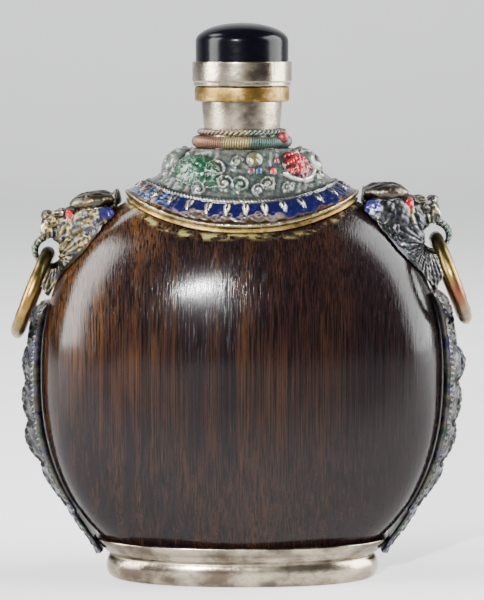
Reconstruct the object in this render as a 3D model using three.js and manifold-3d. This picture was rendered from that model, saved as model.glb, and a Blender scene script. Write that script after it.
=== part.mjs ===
// A wooden snuff bottle with enamelled metal mounts, lion masks with loose rings, and a capped stopper.
// Millimetres, +Z up, the origin on the ground under the middle of the foot. +X is the right-hand side,
// and -Y is the front.
import * as THREE from "three";
import { mergeVertices } from "three/addons/utils/BufferGeometryUtils.js";
import Module from "manifold-3d";

const wasm = await Module();
wasm.setup();

// Gaps that the joints between pieces are made with
const SEAT_GAP = 0.1;
const SLEEVE_GAP = 0.15;
const SKIN_GAP = 0.3;

// The hollow wooden body, a flattened globe
const BODY_HALF_WIDTH = 32;
const BODY_HALF_DEPTH = 17;
const BODY_RISE = 31.6;
const BODY_DROP = 34;
const BODY_SUNK_IN_FOOT = 7.8;
const BODY_SQUARENESS = 2.3;
const BODY_WALL = 3;
const MOUTH_RADIUS = 4.6;
const MOUTH_SEAT_DEPTH = 1.25;

// The oval metal foot: a flared collar over a groove and a rolled rim
const FOOT_HEIGHT = 6.4;
const FOOT_FLOOR = 2.1;
const FOOT_RECESS = 0.9;
const FOOT_FLAT_WIDTH = 2.4;
const FOOT_COLLAR_FLARE = 0.9;
const FOOT_GROOVE_LEVEL = 3.45;
const FOOT_GROOVE_DEPTH = 0.7;
const FOOT_ROLL_INSET = 0.8;
const FOOT_ROLL_DEPTH = 0.9;

// The enamelled cape over the shoulders, from the neck out past a wire to an oval edge
const CAPE_HALF_WIDTH = 17.9;
const CAPE_HALF_DEPTH = 12.5;
const CAPE_WIRE_HALF_WIDTH = 14.4;
const CAPE_WIRE_HALF_DEPTH = 10.1;
const CAPE_DOME_RISE = 4.2;
const CAPE_THICKNESS = 0.8;
const CAPE_SQUARENESS = 2.3;
const CAPE_TONGUES = 30;
const CAPE_TONGUE_RELIEF = 0.45;
const CAPE_WIRE_RELIEF = 0.45;
const CAPE_FLOWER_TURN = 42;
const CAPE_FLOWER_RADIUS = 2.7;
const CAPE_FLOWER_RELIEF = 0.7;

// The thin brass sheet that shows as a second edge under the cape
const LINER_THICKNESS = 0.3;
const LINER_REACH = 0.35;
const LINER_BAND = 2;

// The neck, its two wire rings and its brass rim
const NECK_LENGTH = 15.1;
const NECK_RADIUS = 5.95;
const NECK_TOP_RADIUS = 6.4;
const NECK_BORE_RADIUS = 5.2;
const COIL_THICKNESS = 1.9;
const TWIST_THICKNESS = 0.95;
const RIM_RADIUS = 7.7;
const RIM_HEIGHT = 2.4;
const RIM_CHAMFER = 0.25;

// The stopper: a metal collar with a plug under it, and a black domed cap set in it
const COLLAR_RADIUS = 8;
const COLLAR_HEIGHT = 3.8;
const COLLAR_LIP_HEIGHT = 0.65;
const COLLAR_LIP_STEP = 0.2;
const COLLAR_WALL = 0.5;
const COLLAR_RECESS = 2.6;
const PLUG_LENGTH = 6;
const PLUG_CHAMFER = 0.5;
const CAP_HEIGHT = 6.1;
const CAP_DOME_HEIGHT = 2.9;

// The manes behind the lions' heads, laid on the shoulders and reaching down to a beard
const MANE_HALF_WIDTH = 8.2;
const MANE_HALF_LENGTH = 10;
const MANE_THICKNESS = 1.4;
const MANE_LOCKS = 14;
const MANE_LOCK_RELIEF = 0.7;
const MANE_CREST_RELIEF = 1.3;

// The eye under each lion's snout that holds a ring, and the tongue that curls round it
const EYE_RADIUS = 1.85;
const EYE_FLARE = 0.09;
const EYE_HALF_LENGTH = 3.2;
const TONGUE_WIDTH = 2.6;
const TONGUE_THICKNESS = 0.8;

// The loose rings, hung low in the eyes and leaning out over the straps
const RING_RADIUS = 6.75;
const RING_THICKNESS = 2.3;
const RING_HANG = 0.2;
const RING_OFFSET = 0.3;

// The cast straps down the narrow sides, from under the beards to the foot
const STRAP_TOP_HALF_WIDTH = 4.6;
const STRAP_FOOT_HALF_WIDTH = 3.6;
const STRAP_TOP_THICKNESS = 2;
const STRAP_FOOT_THICKNESS = 1.2;
const STRAP_EDGE_THINNING = 0.5;
const STRAP_FOOT_LEVEL = 4.2;
const STRAP_LEAVES_BODY = 10.4;
const STRAP_RELIEF = 1.4;
const STRAP_BOSS_PITCH = 6.3;
const STRAP_TOP_BOSS = 34.6;
const STRAP_FULL_RELIEF_LEVEL = 25;

// The two sides were fixed by hand: the eyes' heights over the body's middle and their distances from
// the wood, how far the manes sit above the eyes, the straps' tops, and how far the heads and the rings
// lean out in degrees
const SIDES = {
  left: {
    mirror: -1,
    eyeRise: 19.3,
    eyeStandoff: 3.5,
    maneLift: 1.9,
    strapTop: 11.2,
    headLean: 7.5,
    ringLean: 21.5,
  },
  right: {
    mirror: 1,
    eyeRise: 21.7,
    eyeStandoff: 5.3,
    maneLift: -0.2,
    strapTop: 13,
    headLean: 0,
    ringLean: 20.5,
  },
};

// Facets
const OVAL_SEGMENTS = 32;
const BODY_RINGS = 16;
const CAVITY_SEGMENTS = 20;
const CAVITY_RINGS = 9;
const ROUND_SEGMENTS = 24;
const RING_SEGMENTS = 20;
const WIRE_SIDES = 6;
const RING_SIDES = 8;
const LUMP_SEGMENTS = 8;
const LUMP_RINGS = 5;
const DOME_STEPS = 5;
const STRAP_STEPS = 26;

// Bigger than the whole bottle, for cutting tools
const FAR = 200;

const { degToRad, lerp, smoothstep } = THREE.MathUtils;

// Helpers for geometry and solids

function welded(geometry) {
  const bare = geometry.clone();
  bare.deleteAttribute("normal");
  bare.deleteAttribute("uv");
  const merged = mergeVertices(bare, 1e-4);
  const corners = merged.index.array;
  const kept = [];
  for (let i = 0; i < corners.length; i += 3) {
    const [a, b, c] = corners.slice(i, i + 3);
    if (a !== b && b !== c && c !== a) kept.push(a, b, c);
  }
  merged.setIndex(kept);
  return merged;
}

function solidOf(geometry) {
  const closed = welded(geometry);
  const vertProperties = closed.getAttribute("position").array;
  const triVerts = new Uint32Array(closed.index.array);
  return new wasm.Manifold(new wasm.Mesh({ numProp: 3, vertProperties, triVerts }));
}

function geometryOf(solid) {
  const mesh = solid.getMesh();
  const geometry = new THREE.BufferGeometry();
  geometry.setAttribute("position", new THREE.BufferAttribute(mesh.vertProperties, 3));
  geometry.setIndex(new THREE.BufferAttribute(mesh.triVerts, 1));
  return geometry;
}

// Moves each vertex of a geometry to where the given function puts it.
function reshaped(geometry, place) {
  const positions = geometry.getAttribute("position");
  const point = new THREE.Vector3();
  for (let i = 0; i < positions.count; i++) {
    place(point.fromBufferAttribute(positions, i));
    positions.setXYZ(i, ...point);
  }
  return geometry;
}

// Turns a profile of [radius, level] pairs, given anticlockwise, about +Z.
function turned(profile, segments = ROUND_SEGMENTS) {
  const points = profile.map(([radius, level]) => new THREE.Vector2(radius, level));
  return new THREE.LatheGeometry(points, segments).rotateX(Math.PI / 2);
}

const turnedRing = (profile, segments) => turned([...profile, profile[0]], segments);
const ball = (segments, rings) => new THREE.SphereGeometry(1, segments, rings).rotateX(Math.PI / 2);
const slab = (low, high) => new THREE.BoxGeometry(FAR, FAR, high - low).translate(0, 0, (low + high) / 2);

// The rounded form of the body, about its own middle

const power = (value) => Math.abs(value) ** BODY_SQUARENESS;
const root = (value) => Math.max(value, 0) ** (1 / BODY_SQUARENESS);
const slant = (share) => Math.sign(share) * Math.abs(share) ** (BODY_SQUARENESS - 1);
const steepness = (value, size) => slant(value / size) / size;
const tallness = (rise) => (rise > 0 ? BODY_RISE : BODY_DROP);

// The share of the body's half width and half depth that is left at a rise above its middle.
const bodyShare = (rise) => root(1 - power(rise / tallness(rise)));

function bodyShell(margin, segments, rings) {
  return solidOf(
    reshaped(ball(segments, rings), (p) => {
      p.divideScalar(root(power(p.x) + power(p.y) + power(p.z)));
      const height = tallness(p.z) + margin;
      p.multiply(new THREE.Vector3(BODY_HALF_WIDTH + margin, BODY_HALF_DEPTH + margin, height));
    }),
  );
}

// Moves a point of the body's surface outwards, at a right angle to the surface.
function lifted(point, height) {
  const outward = new THREE.Vector3(
    steepness(point.x, BODY_HALF_WIDTH),
    steepness(point.y, BODY_HALF_DEPTH),
    steepness(point.z, tallness(point.z)),
  );
  return point.addScaledVector(outward.normalize(), height);
}

// A point over the shoulder, seen from above.
function shoulderPoint(x, y, height) {
  const share = root(1 - power(x / BODY_HALF_WIDTH) - power(y / BODY_HALF_DEPTH));
  return lifted(new THREE.Vector3(x, y, BODY_RISE * share), height);
}

// A point over the narrow side, at an angle up round the body and a depth.
function sidePoint(angle, depth, height) {
  const [across, up] = [Math.cos(angle), Math.sin(angle)];
  const share = root(1 - power(depth / BODY_HALF_DEPTH)) / root(power(across) + power(up));
  const surface = new THREE.Vector3(BODY_HALF_WIDTH * across * share, depth, tallness(up) * up * share);
  return lifted(surface, height);
}

const MOUTH_RISE = BODY_RISE - MOUTH_SEAT_DEPTH;
const BODY_ABOVE_FOOT = BODY_DROP - BODY_SUNK_IN_FOOT;
const BODY_MIDDLE = FOOT_HEIGHT + BODY_ABOVE_FOOT;

function bottleBody() {
  const mouth = [[0, 0], [MOUTH_RADIUS, 0], [MOUTH_RADIUS, FAR], [0, FAR]];
  const seat = FOOT_FLOOR + SEAT_GAP - BODY_MIDDLE;
  const underFloor = solidOf(slab(-FAR, seat + BODY_WALL));
  const cavity = bodyShell(-BODY_WALL, CAVITY_SEGMENTS, CAVITY_RINGS).subtract(underFloor);
  return bodyShell(0, OVAL_SEGMENTS, BODY_RINGS)
    .subtract(cavity)
    .subtract(solidOf(turned(mouth)))
    .subtract(solidOf(slab(-FAR, seat)))
    .subtract(solidOf(slab(MOUTH_RISE, FAR)));
}

// The foot. It is turned round, and then drawn out into the oval of the body just over its collar.

const FOOT_HALF_WIDTH = BODY_HALF_WIDTH * bodyShare(-BODY_ABOVE_FOOT);
const FOOT_HALF_DEPTH = BODY_HALF_DEPTH * bodyShare(-BODY_ABOVE_FOOT);

function drawnOval(p) {
  const radius = Math.hypot(p.x, p.y);
  if (radius === 0) return;
  const rim = new THREE.Vector2(p.x, p.y).divideScalar(radius);
  rim.divideScalar(root(power(rim.x) + power(rim.y)));
  rim.multiply(new THREE.Vector2(FOOT_HALF_WIDTH, FOOT_HALF_DEPTH));
  const outward = new THREE.Vector2(steepness(rim.x, FOOT_HALF_WIDTH), steepness(rim.y, FOOT_HALF_DEPTH));
  rim.multiplyScalar(Math.min(radius / FOOT_HALF_WIDTH, 1));
  rim.addScaledVector(outward.normalize(), Math.max(radius - FOOT_HALF_WIDTH, 0));
  [p.x, p.y] = [rim.x, rim.y];
}

function footMount() {
  const rollOuter = FOOT_HALF_WIDTH - FOOT_ROLL_INSET;
  const flatOuter = rollOuter - FOOT_ROLL_DEPTH;
  const flatInner = flatOuter - FOOT_FLAT_WIDTH;
  const roll = [-60, -20, 20, 55].map((turn) => {
    const [out, up] = [Math.cos(degToRad(turn)), Math.sin(degToRad(turn))];
    return [flatOuter + FOOT_ROLL_DEPTH * out, (FOOT_GROOVE_LEVEL / 2) * (1 + up)];
  });
  const seat = [FOOT_HEIGHT, (FOOT_HEIGHT + FOOT_FLOOR) / 2, FOOT_FLOOR].map((level) => [
    BODY_HALF_WIDTH * bodyShare(level - BODY_MIDDLE) + 2 * SLEEVE_GAP,
    level,
  ]);
  const profile = [
    [0, FOOT_RECESS],
    [flatInner - FOOT_RECESS, FOOT_RECESS],
    [flatInner, 0],
    [flatOuter, 0],
    ...roll,
    [rollOuter - FOOT_GROOVE_DEPTH, FOOT_GROOVE_LEVEL],
    [FOOT_HALF_WIDTH + FOOT_COLLAR_FLARE, FOOT_HEIGHT],
    ...seat,
    [0, FOOT_FLOOR],
  ];
  return reshaped(turned(profile, OVAL_SEGMENTS), drawnOval);
}

// The cape. A place on it is a reach, from 0 at the neck through 1 at the wire to 2 at the edge, and an
// angle round it.

const CAPE_NECK_RADIUS = NECK_RADIUS + SLEEVE_GAP;
const CAPE_NECK_RISE = BODY_RISE + CAPE_DOME_RISE;
const CAPE_SKIRT_FLOOR = SLEEVE_GAP + LINER_THICKNESS + SLEEVE_GAP;
const CAPE_SKIRT_WIDTH = CAPE_HALF_WIDTH - CAPE_WIRE_HALF_WIDTH;

function capePlan(reach, angle) {
  const [inner, outer] = [Math.min(reach, 1), Math.max(reach - 1, 0)];
  const halfSize = (wire, edge) => lerp(CAPE_NECK_RADIUS, wire, inner) + (edge - wire) * outer;
  const halfWidth = halfSize(CAPE_WIRE_HALF_WIDTH, CAPE_HALF_WIDTH);
  const halfDepth = halfSize(CAPE_WIRE_HALF_DEPTH, CAPE_HALF_DEPTH);
  const [across, deep] = [Math.cos(angle), Math.sin(angle)];
  const squareness = lerp(2, CAPE_SQUARENESS, inner);
  const stretch = (Math.abs(across) ** squareness + Math.abs(deep) ** squareness) ** (-1 / squareness);
  return [halfWidth * across * stretch, halfDepth * deep * stretch];
}

// Round flowers stand halfway up the dome, one on each narrow side, and two each on the front and the
// back. They fade out towards the neck, where the coil lies.
const CAPE_FLOWER_ANGLES = [0, CAPE_FLOWER_TURN, 180 - CAPE_FLOWER_TURN, 180].map(degToRad);

function flowerRelief(reach, angle) {
  const [x, y] = capePlan(reach, angle);
  const distances = CAPE_FLOWER_ANGLES.map((turn) => {
    const [flowerX, flowerY] = capePlan(0.5, turn);
    return Math.hypot(x - flowerX, Math.abs(y) - flowerY);
  });
  const distance = Math.min(...distances) / CAPE_FLOWER_RADIUS;
  return CAPE_FLOWER_RELIEF * (1 - smoothstep(distance, 0.35, 1)) * smoothstep(reach, 0.15, 0.45);
}

function skirtTop(reach, angle) {
  const wire = reach === 1 ? CAPE_WIRE_RELIEF : 0;
  const band = smoothstep(reach, 1.05, 1.25) * (1 - smoothstep(reach, 1.6, 1.9));
  const tongue = 0.5 + 0.5 * Math.cos(CAPE_TONGUES * (angle + Math.PI / 2));
  const height = CAPE_SKIRT_FLOOR + CAPE_THICKNESS + wire + CAPE_TONGUE_RELIEF * tongue * band;
  return shoulderPoint(...capePlan(reach, angle), height);
}

// The dome climbs steadily from the wire, and is level just before it meets the neck.
function domeTop(reach, angle) {
  const climb = Math.min(1.22 * (1 - reach), 1);
  const place = shoulderPoint(...capePlan(1, angle), CAPE_SKIRT_FLOOR + CAPE_THICKNESS);
  const neck = new THREE.Vector3(Math.cos(angle), Math.sin(angle), 0).multiplyScalar(CAPE_NECK_RADIUS);
  const rise = lerp(place.z, CAPE_NECK_RISE, lerp(climb, smoothstep(climb, 0, 1), 0.35));
  place.lerp(neck, 1 - reach).setZ(rise);
  const outward = new THREE.Vector3(Math.cos(angle), Math.sin(angle), 1.5).normalize();
  return place.addScaledVector(outward, flowerRelief(reach, angle));
}

function capeUnderside(reach, angle) {
  return shoulderPoint(...capePlan(reach, angle), lerp(SKIN_GAP, CAPE_SKIRT_FLOOR, Math.min(reach, 1)));
}

// Turns rows of [reach, surface] pairs round the shoulders, where a surface gives the point at a reach
// and an angle.
function roundShoulders(rows, segments) {
  const inside = 1;
  const profile = rows.map(([reach], row) => [inside + reach, row]);
  return reshaped(turnedRing(profile, segments), (p) => {
    const [reach, surface] = rows[Math.round(p.z)];
    p.copy(surface(reach, Math.atan2(p.y, p.x)));
  });
}

function shoulderCape() {
  const under = [0, 0.5, 1, 2].map((reach) => [reach, capeUnderside]);
  const skirt = [2, 1.75, 1.4, 1.1, 1].map((reach) => [reach, skirtTop]);
  const dome = [0.9, 0.7, 0.5, 0.3, 0.15, 0].map((reach) => [reach, domeTop]);
  return roundShoulders([...under, ...skirt, ...dome], 2 * CAPE_TONGUES);
}

function capeLiner() {
  const outer = 2 + LINER_REACH / CAPE_SKIRT_WIDTH;
  const inner = outer - LINER_BAND / CAPE_SKIRT_WIDTH;
  const sheet = (height) => (reach, angle) => shoulderPoint(...capePlan(reach, angle), height);
  const low = sheet(SLEEVE_GAP);
  const high = sheet(SLEEVE_GAP + LINER_THICKNESS);
  return roundShoulders([[inner, low], [outer, low], [outer, high], [inner, high]], OVAL_SEGMENTS);
}

// The neck, about its own foot on the mouth of the body

const COIL_BASE = CAPE_NECK_RISE - MOUTH_RISE;
const TWIST_BASE = COIL_BASE + COIL_THICKNESS + SEAT_GAP;
const RIM_BASE = NECK_LENGTH - RIM_HEIGHT;

function neckTube() {
  return turnedRing([
    [NECK_BORE_RADIUS, 0],
    [NECK_RADIUS, 0],
    [NECK_RADIUS, TWIST_BASE],
    [NECK_TOP_RADIUS, RIM_BASE],
    [NECK_TOP_RADIUS, NECK_LENGTH],
    [NECK_BORE_RADIUS, NECK_LENGTH],
  ]);
}

function neckRim() {
  const bore = NECK_TOP_RADIUS + SLEEVE_GAP;
  return turnedRing([
    [bore, 0],
    [RIM_RADIUS - RIM_CHAMFER, 0],
    [RIM_RADIUS, RIM_CHAMFER],
    [RIM_RADIUS, RIM_HEIGHT - RIM_CHAMFER],
    [RIM_RADIUS - RIM_CHAMFER, RIM_HEIGHT],
    [bore, RIM_HEIGHT],
  ]);
}

function wireRing(inner, thickness) {
  return new THREE.TorusGeometry(inner + thickness / 2, thickness / 2, WIRE_SIDES, ROUND_SEGMENTS);
}

const neckCoil = () => wireRing(NECK_RADIUS + SLEEVE_GAP, COIL_THICKNESS);

function neckTwist() {
  const climb = TWIST_THICKNESS / (RIM_BASE - TWIST_BASE);
  return wireRing(lerp(NECK_RADIUS, NECK_TOP_RADIUS, climb) + SLEEVE_GAP, TWIST_THICKNESS);
}

// The stopper, about the underside of its collar

function stopperCollar() {
  const plug = NECK_BORE_RADIUS - SLEEVE_GAP;
  const lip = COLLAR_RADIUS - COLLAR_LIP_STEP;
  const recess = COLLAR_RADIUS - COLLAR_WALL;
  return turned([
    [0, -PLUG_LENGTH],
    [plug - PLUG_CHAMFER, -PLUG_LENGTH],
    [plug, PLUG_CHAMFER - PLUG_LENGTH],
    [plug, 0],
    [lip, 0],
    [lip, COLLAR_LIP_HEIGHT],
    [COLLAR_RADIUS, COLLAR_LIP_HEIGHT],
    [COLLAR_RADIUS, COLLAR_HEIGHT],
    [recess, COLLAR_HEIGHT],
    [recess, COLLAR_HEIGHT - COLLAR_RECESS],
    [0, COLLAR_HEIGHT - COLLAR_RECESS],
  ]);
}

function stopperCap() {
  const radius = COLLAR_RADIUS - COLLAR_WALL - SLEEVE_GAP;
  const springing = COLLAR_RECESS - SEAT_GAP + CAP_HEIGHT - CAP_DOME_HEIGHT;
  const profile = [[0, 0], [radius, 0]];
  for (let step = 0; step < DOME_STEPS; step++) {
    const angle = (Math.PI / 2) * (step / DOME_STEPS);
    profile.push([radius * Math.cos(angle), springing + CAP_DOME_HEIGHT * Math.sin(angle)]);
  }
  return turned([...profile, [0, springing + CAP_DOME_HEIGHT]]);
}

// The lion masks, made on the right-hand side

function eyePlace(side) {
  return [BODY_HALF_WIDTH * bodyShare(side.eyeRise) + side.eyeStandoff, 0, side.eyeRise];
}

// Places a piece that is made about the ring's eye: X outwards, Y across and Z upwards.
function atEye(geometry, side) {
  return geometry.rotateY(degToRad(side.headLean)).translate(...eyePlace(side));
}

// A shield with a pointed beard and a crest at its top, scalloped into locks that radiate from the face.
function mane(side) {
  const rows = [[0, 0], [0.5, 0], [1, 0], [1, 1], [0.82, 1], [0.5, 1], [0, 1]];
  const eyeAngle = Math.atan2(side.eyeRise / BODY_RISE, bodyShare(side.eyeRise));
  const girth = sidePoint(eyeAngle, 0, 0).length();
  return reshaped(turned(rows, 2 * MANE_LOCKS), (p) => {
    const share = Math.hypot(p.x, p.y);
    const turn = Math.atan2(p.y, p.x);
    const [down, across] = [Math.cos(turn), Math.sin(turn)];
    const lock = 0.5 + 0.5 * Math.cos(MANE_LOCKS * (turn + Math.PI / 2));
    const reach = share * (0.93 + 0.07 * lock);
    const beard = 1 - 0.4 * smoothstep(down, 0.1, 1);
    const crest = 1 - 0.3 * smoothstep(-down, 0.3, 1);
    const depth = MANE_HALF_WIDTH * reach * across * beard * crest;
    const angle = eyeAngle + (side.maneLift - MANE_HALF_LENGTH * reach * down) / girth;
    const thinning = 1 - 0.35 * smoothstep(share, 0.7, 1);
    const locks = MANE_LOCK_RELIEF * lock * smoothstep(share, 0.3, 0.82);
    const upturned = MANE_CREST_RELIEF * smoothstep(share, 0.5, 1) * smoothstep(-down, 0.85, 1);
    const top = MANE_THICKNESS * thinning + locks + upturned;
    p.copy(sidePoint(angle, depth, SKIN_GAP + p.z * top));
  });
}

// The head's rounded parts as [middle, half sizes], in millimetres about the eye of the ring
const FACE = [
  [[-5.6, 0, 3.2], [5, 4.8, 4.4]],
  [[-1.9, 0, 4.2], [2.8, 2.9, 2]],
  [[0.3, 0, 5], [0.8, 1.4, 0.9]],
];
const FACE_PAIRS = [
  [[-7.4, 2.7, 6.6], [3.7, 1.7, 1.9]],
  [[-4.4, 4.1, 1.4], [2.4, 2.1, 2.9]],
];

function faceLumps() {
  const mirrored = FACE_PAIRS.map(([[x, y, z], sizes]) => [[x, -y, z], sizes]);
  return [...FACE, ...FACE_PAIRS, ...mirrored].map(([middle, sizes]) =>
    ball(LUMP_SEGMENTS, LUMP_RINGS).scale(...sizes).translate(...middle),
  );
}

// A flat band that hangs from the snout and curls under, round the eye.
function tongue() {
  const radius = EYE_RADIUS + 0.35 * TONGUE_THICKNESS;
  const points = [70, 30, -5, -40, -75, -110, -145].map((turn) => {
    const angle = degToRad(turn);
    return new THREE.Vector3(radius * Math.cos(angle), 0, radius * Math.sin(angle));
  });
  const section = new THREE.Shape();
  section.absellipse(0, 0, TONGUE_WIDTH / 2, TONGUE_THICKNESS / 2, 0, 2 * Math.PI);
  const extrudePath = new THREE.CatmullRomCurve3(points);
  return new THREE.ExtrudeGeometry(section, { steps: 8, extrudePath, curveSegments: 3 });
}

// The hole through the eye. It widens towards both ends, so that the ring can swing.
function eyeHole() {
  const steps = 3;
  const points = [new THREE.Vector2(0, -EYE_HALF_LENGTH)];
  for (let step = -steps; step <= steps; step++) {
    const across = (step / steps) * EYE_HALF_LENGTH;
    points.push(new THREE.Vector2(EYE_RADIUS + EYE_FLARE * across ** 2, across));
  }
  points.push(new THREE.Vector2(0, EYE_HALF_LENGTH));
  return new THREE.LatheGeometry(points, 2 * RING_SIDES);
}

function capeKeepOut() {
  const growth = LINER_REACH + CAPE_THICKNESS + SKIN_GAP;
  const outline = new THREE.Shape();
  outline.absellipse(0, 0, CAPE_HALF_WIDTH + growth, CAPE_HALF_DEPTH + growth, 0, 2 * Math.PI);
  const options = { depth: FAR, curveSegments: OVAL_SEGMENTS, bevelEnabled: false };
  return new THREE.ExtrudeGeometry(outline, options);
}

function lionMask(side) {
  const buried = bodyShell(SKIN_GAP + MANE_THICKNESS / 2, CAVITY_SEGMENTS, CAVITY_RINGS);
  const head = [...faceLumps(), tongue()]
    .map((piece) => solidOf(atEye(piece, side)))
    .reduce((joined, piece) => joined.add(piece));
  const mask = solidOf(mane(side))
    .add(head.subtract(buried))
    .subtract(solidOf(atEye(eyeHole(), side)))
    .subtract(solidOf(capeKeepOut()));
  return mask.decompose().reduce((largest, piece) => (piece.volume() > largest.volume() ? piece : largest));
}

// The rings and the straps

function mouthRing() {
  const ring = new THREE.TorusGeometry(RING_RADIUS, RING_THICKNESS / 2, RING_SIDES, RING_SEGMENTS);
  return ring.translate(RING_RADIUS, 0, 0);
}

// The strap lies on the wood, and below it runs straight down past the edge of the foot's collar.
function strapInner(depth, level) {
  const collarOuter = FOOT_HALF_WIDTH + FOOT_COLLAR_FLARE + SLEEVE_GAP;
  const bodyOuter = BODY_HALF_WIDTH * bodyShare(STRAP_LEAVES_BODY - BODY_MIDDLE) + SKIN_GAP;
  const along = (level - FOOT_HEIGHT) / (STRAP_LEAVES_BODY - FOOT_HEIGHT);
  if (level < STRAP_LEAVES_BODY) return lerp(collarOuter, bodyOuter, along);
  const rise = level - BODY_MIDDLE;
  const share = root(1 - power(depth / BODY_HALF_DEPTH) - power(rise / tallness(rise)));
  return Math.max(BODY_HALF_WIDTH * share + SKIN_GAP, bodyOuter);
}

// Round bosses down the strap, lower towards its foot. Above them it is plain, where the ring rests.
function strapRelief(level, across) {
  const boss = Math.sqrt(Math.abs(Math.cos((Math.PI * (level - STRAP_TOP_BOSS)) / STRAP_BOSS_PITCH)));
  const above = 1 - smoothstep(level, STRAP_TOP_BOSS, STRAP_TOP_BOSS + STRAP_BOSS_PITCH / 2);
  const size = lerp(0.3, 1, smoothstep(level, STRAP_LEAVES_BODY, STRAP_FULL_RELIEF_LEVEL));
  return STRAP_RELIEF * boss * above * size * (1 - across ** 2);
}

function sideStrap(side) {
  const box = new THREE.BoxGeometry(1, 2, 1, 1, 4, STRAP_STEPS).translate(0.5, 0, 0.5);
  return reshaped(box, (p) => {
    const level = lerp(STRAP_FOOT_LEVEL, BODY_MIDDLE + side.strapTop, p.z);
    const depth = p.y * lerp(STRAP_FOOT_HALF_WIDTH, STRAP_TOP_HALF_WIDTH, p.z);
    const step = 0.5;
    const lean = (strapInner(depth, level + step) - strapInner(depth, level - step)) / (2 * step);
    const growth = smoothstep(level, STRAP_LEAVES_BODY, STRAP_FULL_RELIEF_LEVEL);
    const plain = lerp(STRAP_FOOT_THICKNESS, STRAP_TOP_THICKNESS, growth) - STRAP_EDGE_THINNING * p.y ** 2;
    const thickness = plain + strapRelief(level, p.y);
    const outward = new THREE.Vector3(1, 0, -lean).normalize();
    const inner = new THREE.Vector3(strapInner(depth, level), depth, level - BODY_MIDDLE);
    p.copy(inner.addScaledVector(outward, p.x * thickness));
  });
}

// Finishes

const darkWood = { color: 0x2e1710, roughness: 0.28, metalness: 0 };
const whiteMetal = { color: 0xb5a894, roughness: 0.32, metalness: 1 };
const brass = { color: 0xa8843e, roughness: 0.38, metalness: 1 };
const copperBrass = { color: 0x8c6a35, roughness: 0.42, metalness: 1 };
const enamel = { color: 0x49547e, roughness: 0.5, metalness: 0.4 };
const darkSilver = { color: 0x6a675f, roughness: 0.5, metalness: 0.8 };
const verdigris = { color: 0x4f6a60, roughness: 0.6, metalness: 0.5 };
const blackGlass = { color: 0x0b0b12, roughness: 0.08, metalness: 0 };

function part(name, shape, finish) {
  const geometry = shape.isBufferGeometry ? welded(shape) : geometryOf(shape);
  const mesh = new THREE.Mesh(geometry, new THREE.MeshStandardMaterial(finish));
  mesh.name = name;
  return mesh;
}

function stopper() {
  const cap = part("stopper_cap", stopperCap(), blackGlass);
  cap.position.z = COLLAR_HEIGHT - COLLAR_RECESS + SEAT_GAP;
  const group = new THREE.Group();
  group.add(part("stopper_collar", stopperCollar(), whiteMetal), cap);
  return group;
}

function neck() {
  const coil = part("neck_coil_ring", neckCoil(), verdigris);
  coil.position.z = COIL_BASE + COIL_THICKNESS / 2;
  const twist = part("neck_twist_ring", neckTwist(), verdigris);
  twist.position.z = TWIST_BASE + TWIST_THICKNESS / 2;
  const rim = part("neck_rim_ring", neckRim(), brass);
  rim.position.z = RIM_BASE;
  const top = stopper();
  top.position.z = NECK_LENGTH + SEAT_GAP;
  const group = new THREE.Group();
  group.add(part("neck_tube", neckTube(), whiteMetal), coil, twist, rim, top);
  return group;
}

function sideMounts(name, side) {
  const [outward, , upward] = eyePlace(side);
  const ring = part(`mouth_ring_${name}`, mouthRing(), copperBrass);
  ring.position.set(outward + RING_OFFSET, 0, upward - RING_HANG);
  ring.rotation.y = degToRad(90 - side.ringLean);
  const mask = part(`lion_mask_${name}`, lionMask(side), darkSilver);
  const strap = part(`side_strap_${name}`, sideStrap(side), darkSilver);
  const group = new THREE.Group();
  group.scale.x = side.mirror;
  group.add(mask, ring, strap);
  return group;
}

// The whole bottle: the foot on the ground, and all else about the middle of the body

const onBody = new THREE.Group();
onBody.position.z = BODY_MIDDLE;
onBody.add(part("bottle_body", bottleBody(), darkWood));
onBody.add(part("shoulder_cape", shoulderCape(), enamel));
onBody.add(part("cape_liner", capeLiner(), brass));
const neckOnMouth = neck();
neckOnMouth.position.z = MOUTH_RISE + SEAT_GAP;
onBody.add(neckOnMouth);
for (const [name, side] of Object.entries(SIDES)) onBody.add(sideMounts(name, side));

const bottle = new THREE.Group();
bottle.add(part("foot_mount", footMount(), whiteMetal), onBody);

export default bottle;
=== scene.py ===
import math

import bpy
import numpy as np
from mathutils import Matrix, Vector


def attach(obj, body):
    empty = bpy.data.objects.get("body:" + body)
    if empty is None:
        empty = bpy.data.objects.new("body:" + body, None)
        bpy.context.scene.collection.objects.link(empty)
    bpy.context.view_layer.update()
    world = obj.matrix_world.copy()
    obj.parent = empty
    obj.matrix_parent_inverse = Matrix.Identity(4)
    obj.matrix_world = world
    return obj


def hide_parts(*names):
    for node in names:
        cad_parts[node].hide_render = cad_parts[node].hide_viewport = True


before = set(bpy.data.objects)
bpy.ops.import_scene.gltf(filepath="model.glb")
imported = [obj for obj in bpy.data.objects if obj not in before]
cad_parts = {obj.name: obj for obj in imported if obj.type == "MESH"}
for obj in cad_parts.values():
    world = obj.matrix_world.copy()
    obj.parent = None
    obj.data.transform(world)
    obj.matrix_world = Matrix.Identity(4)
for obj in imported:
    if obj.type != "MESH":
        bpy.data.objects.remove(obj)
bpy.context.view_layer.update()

# The photographer's table: a pale paper sweep, a camera a little above the cape, a soft box at each side
# whose reflection runs down the wood, a weak one overhead, and a small round lamp for the one hot spot.
CAMERA_PLACE = Vector((0, -0.416, 0.0854))
CAMERA_AIM = Vector((0, 0, 0.04417))
# The photograph's half height, and how far off it shows true angles, both in its pixels.
PICTURE_HALF_HEIGHT = 300
PICTURE_DISTANCE = 2622.9

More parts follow.
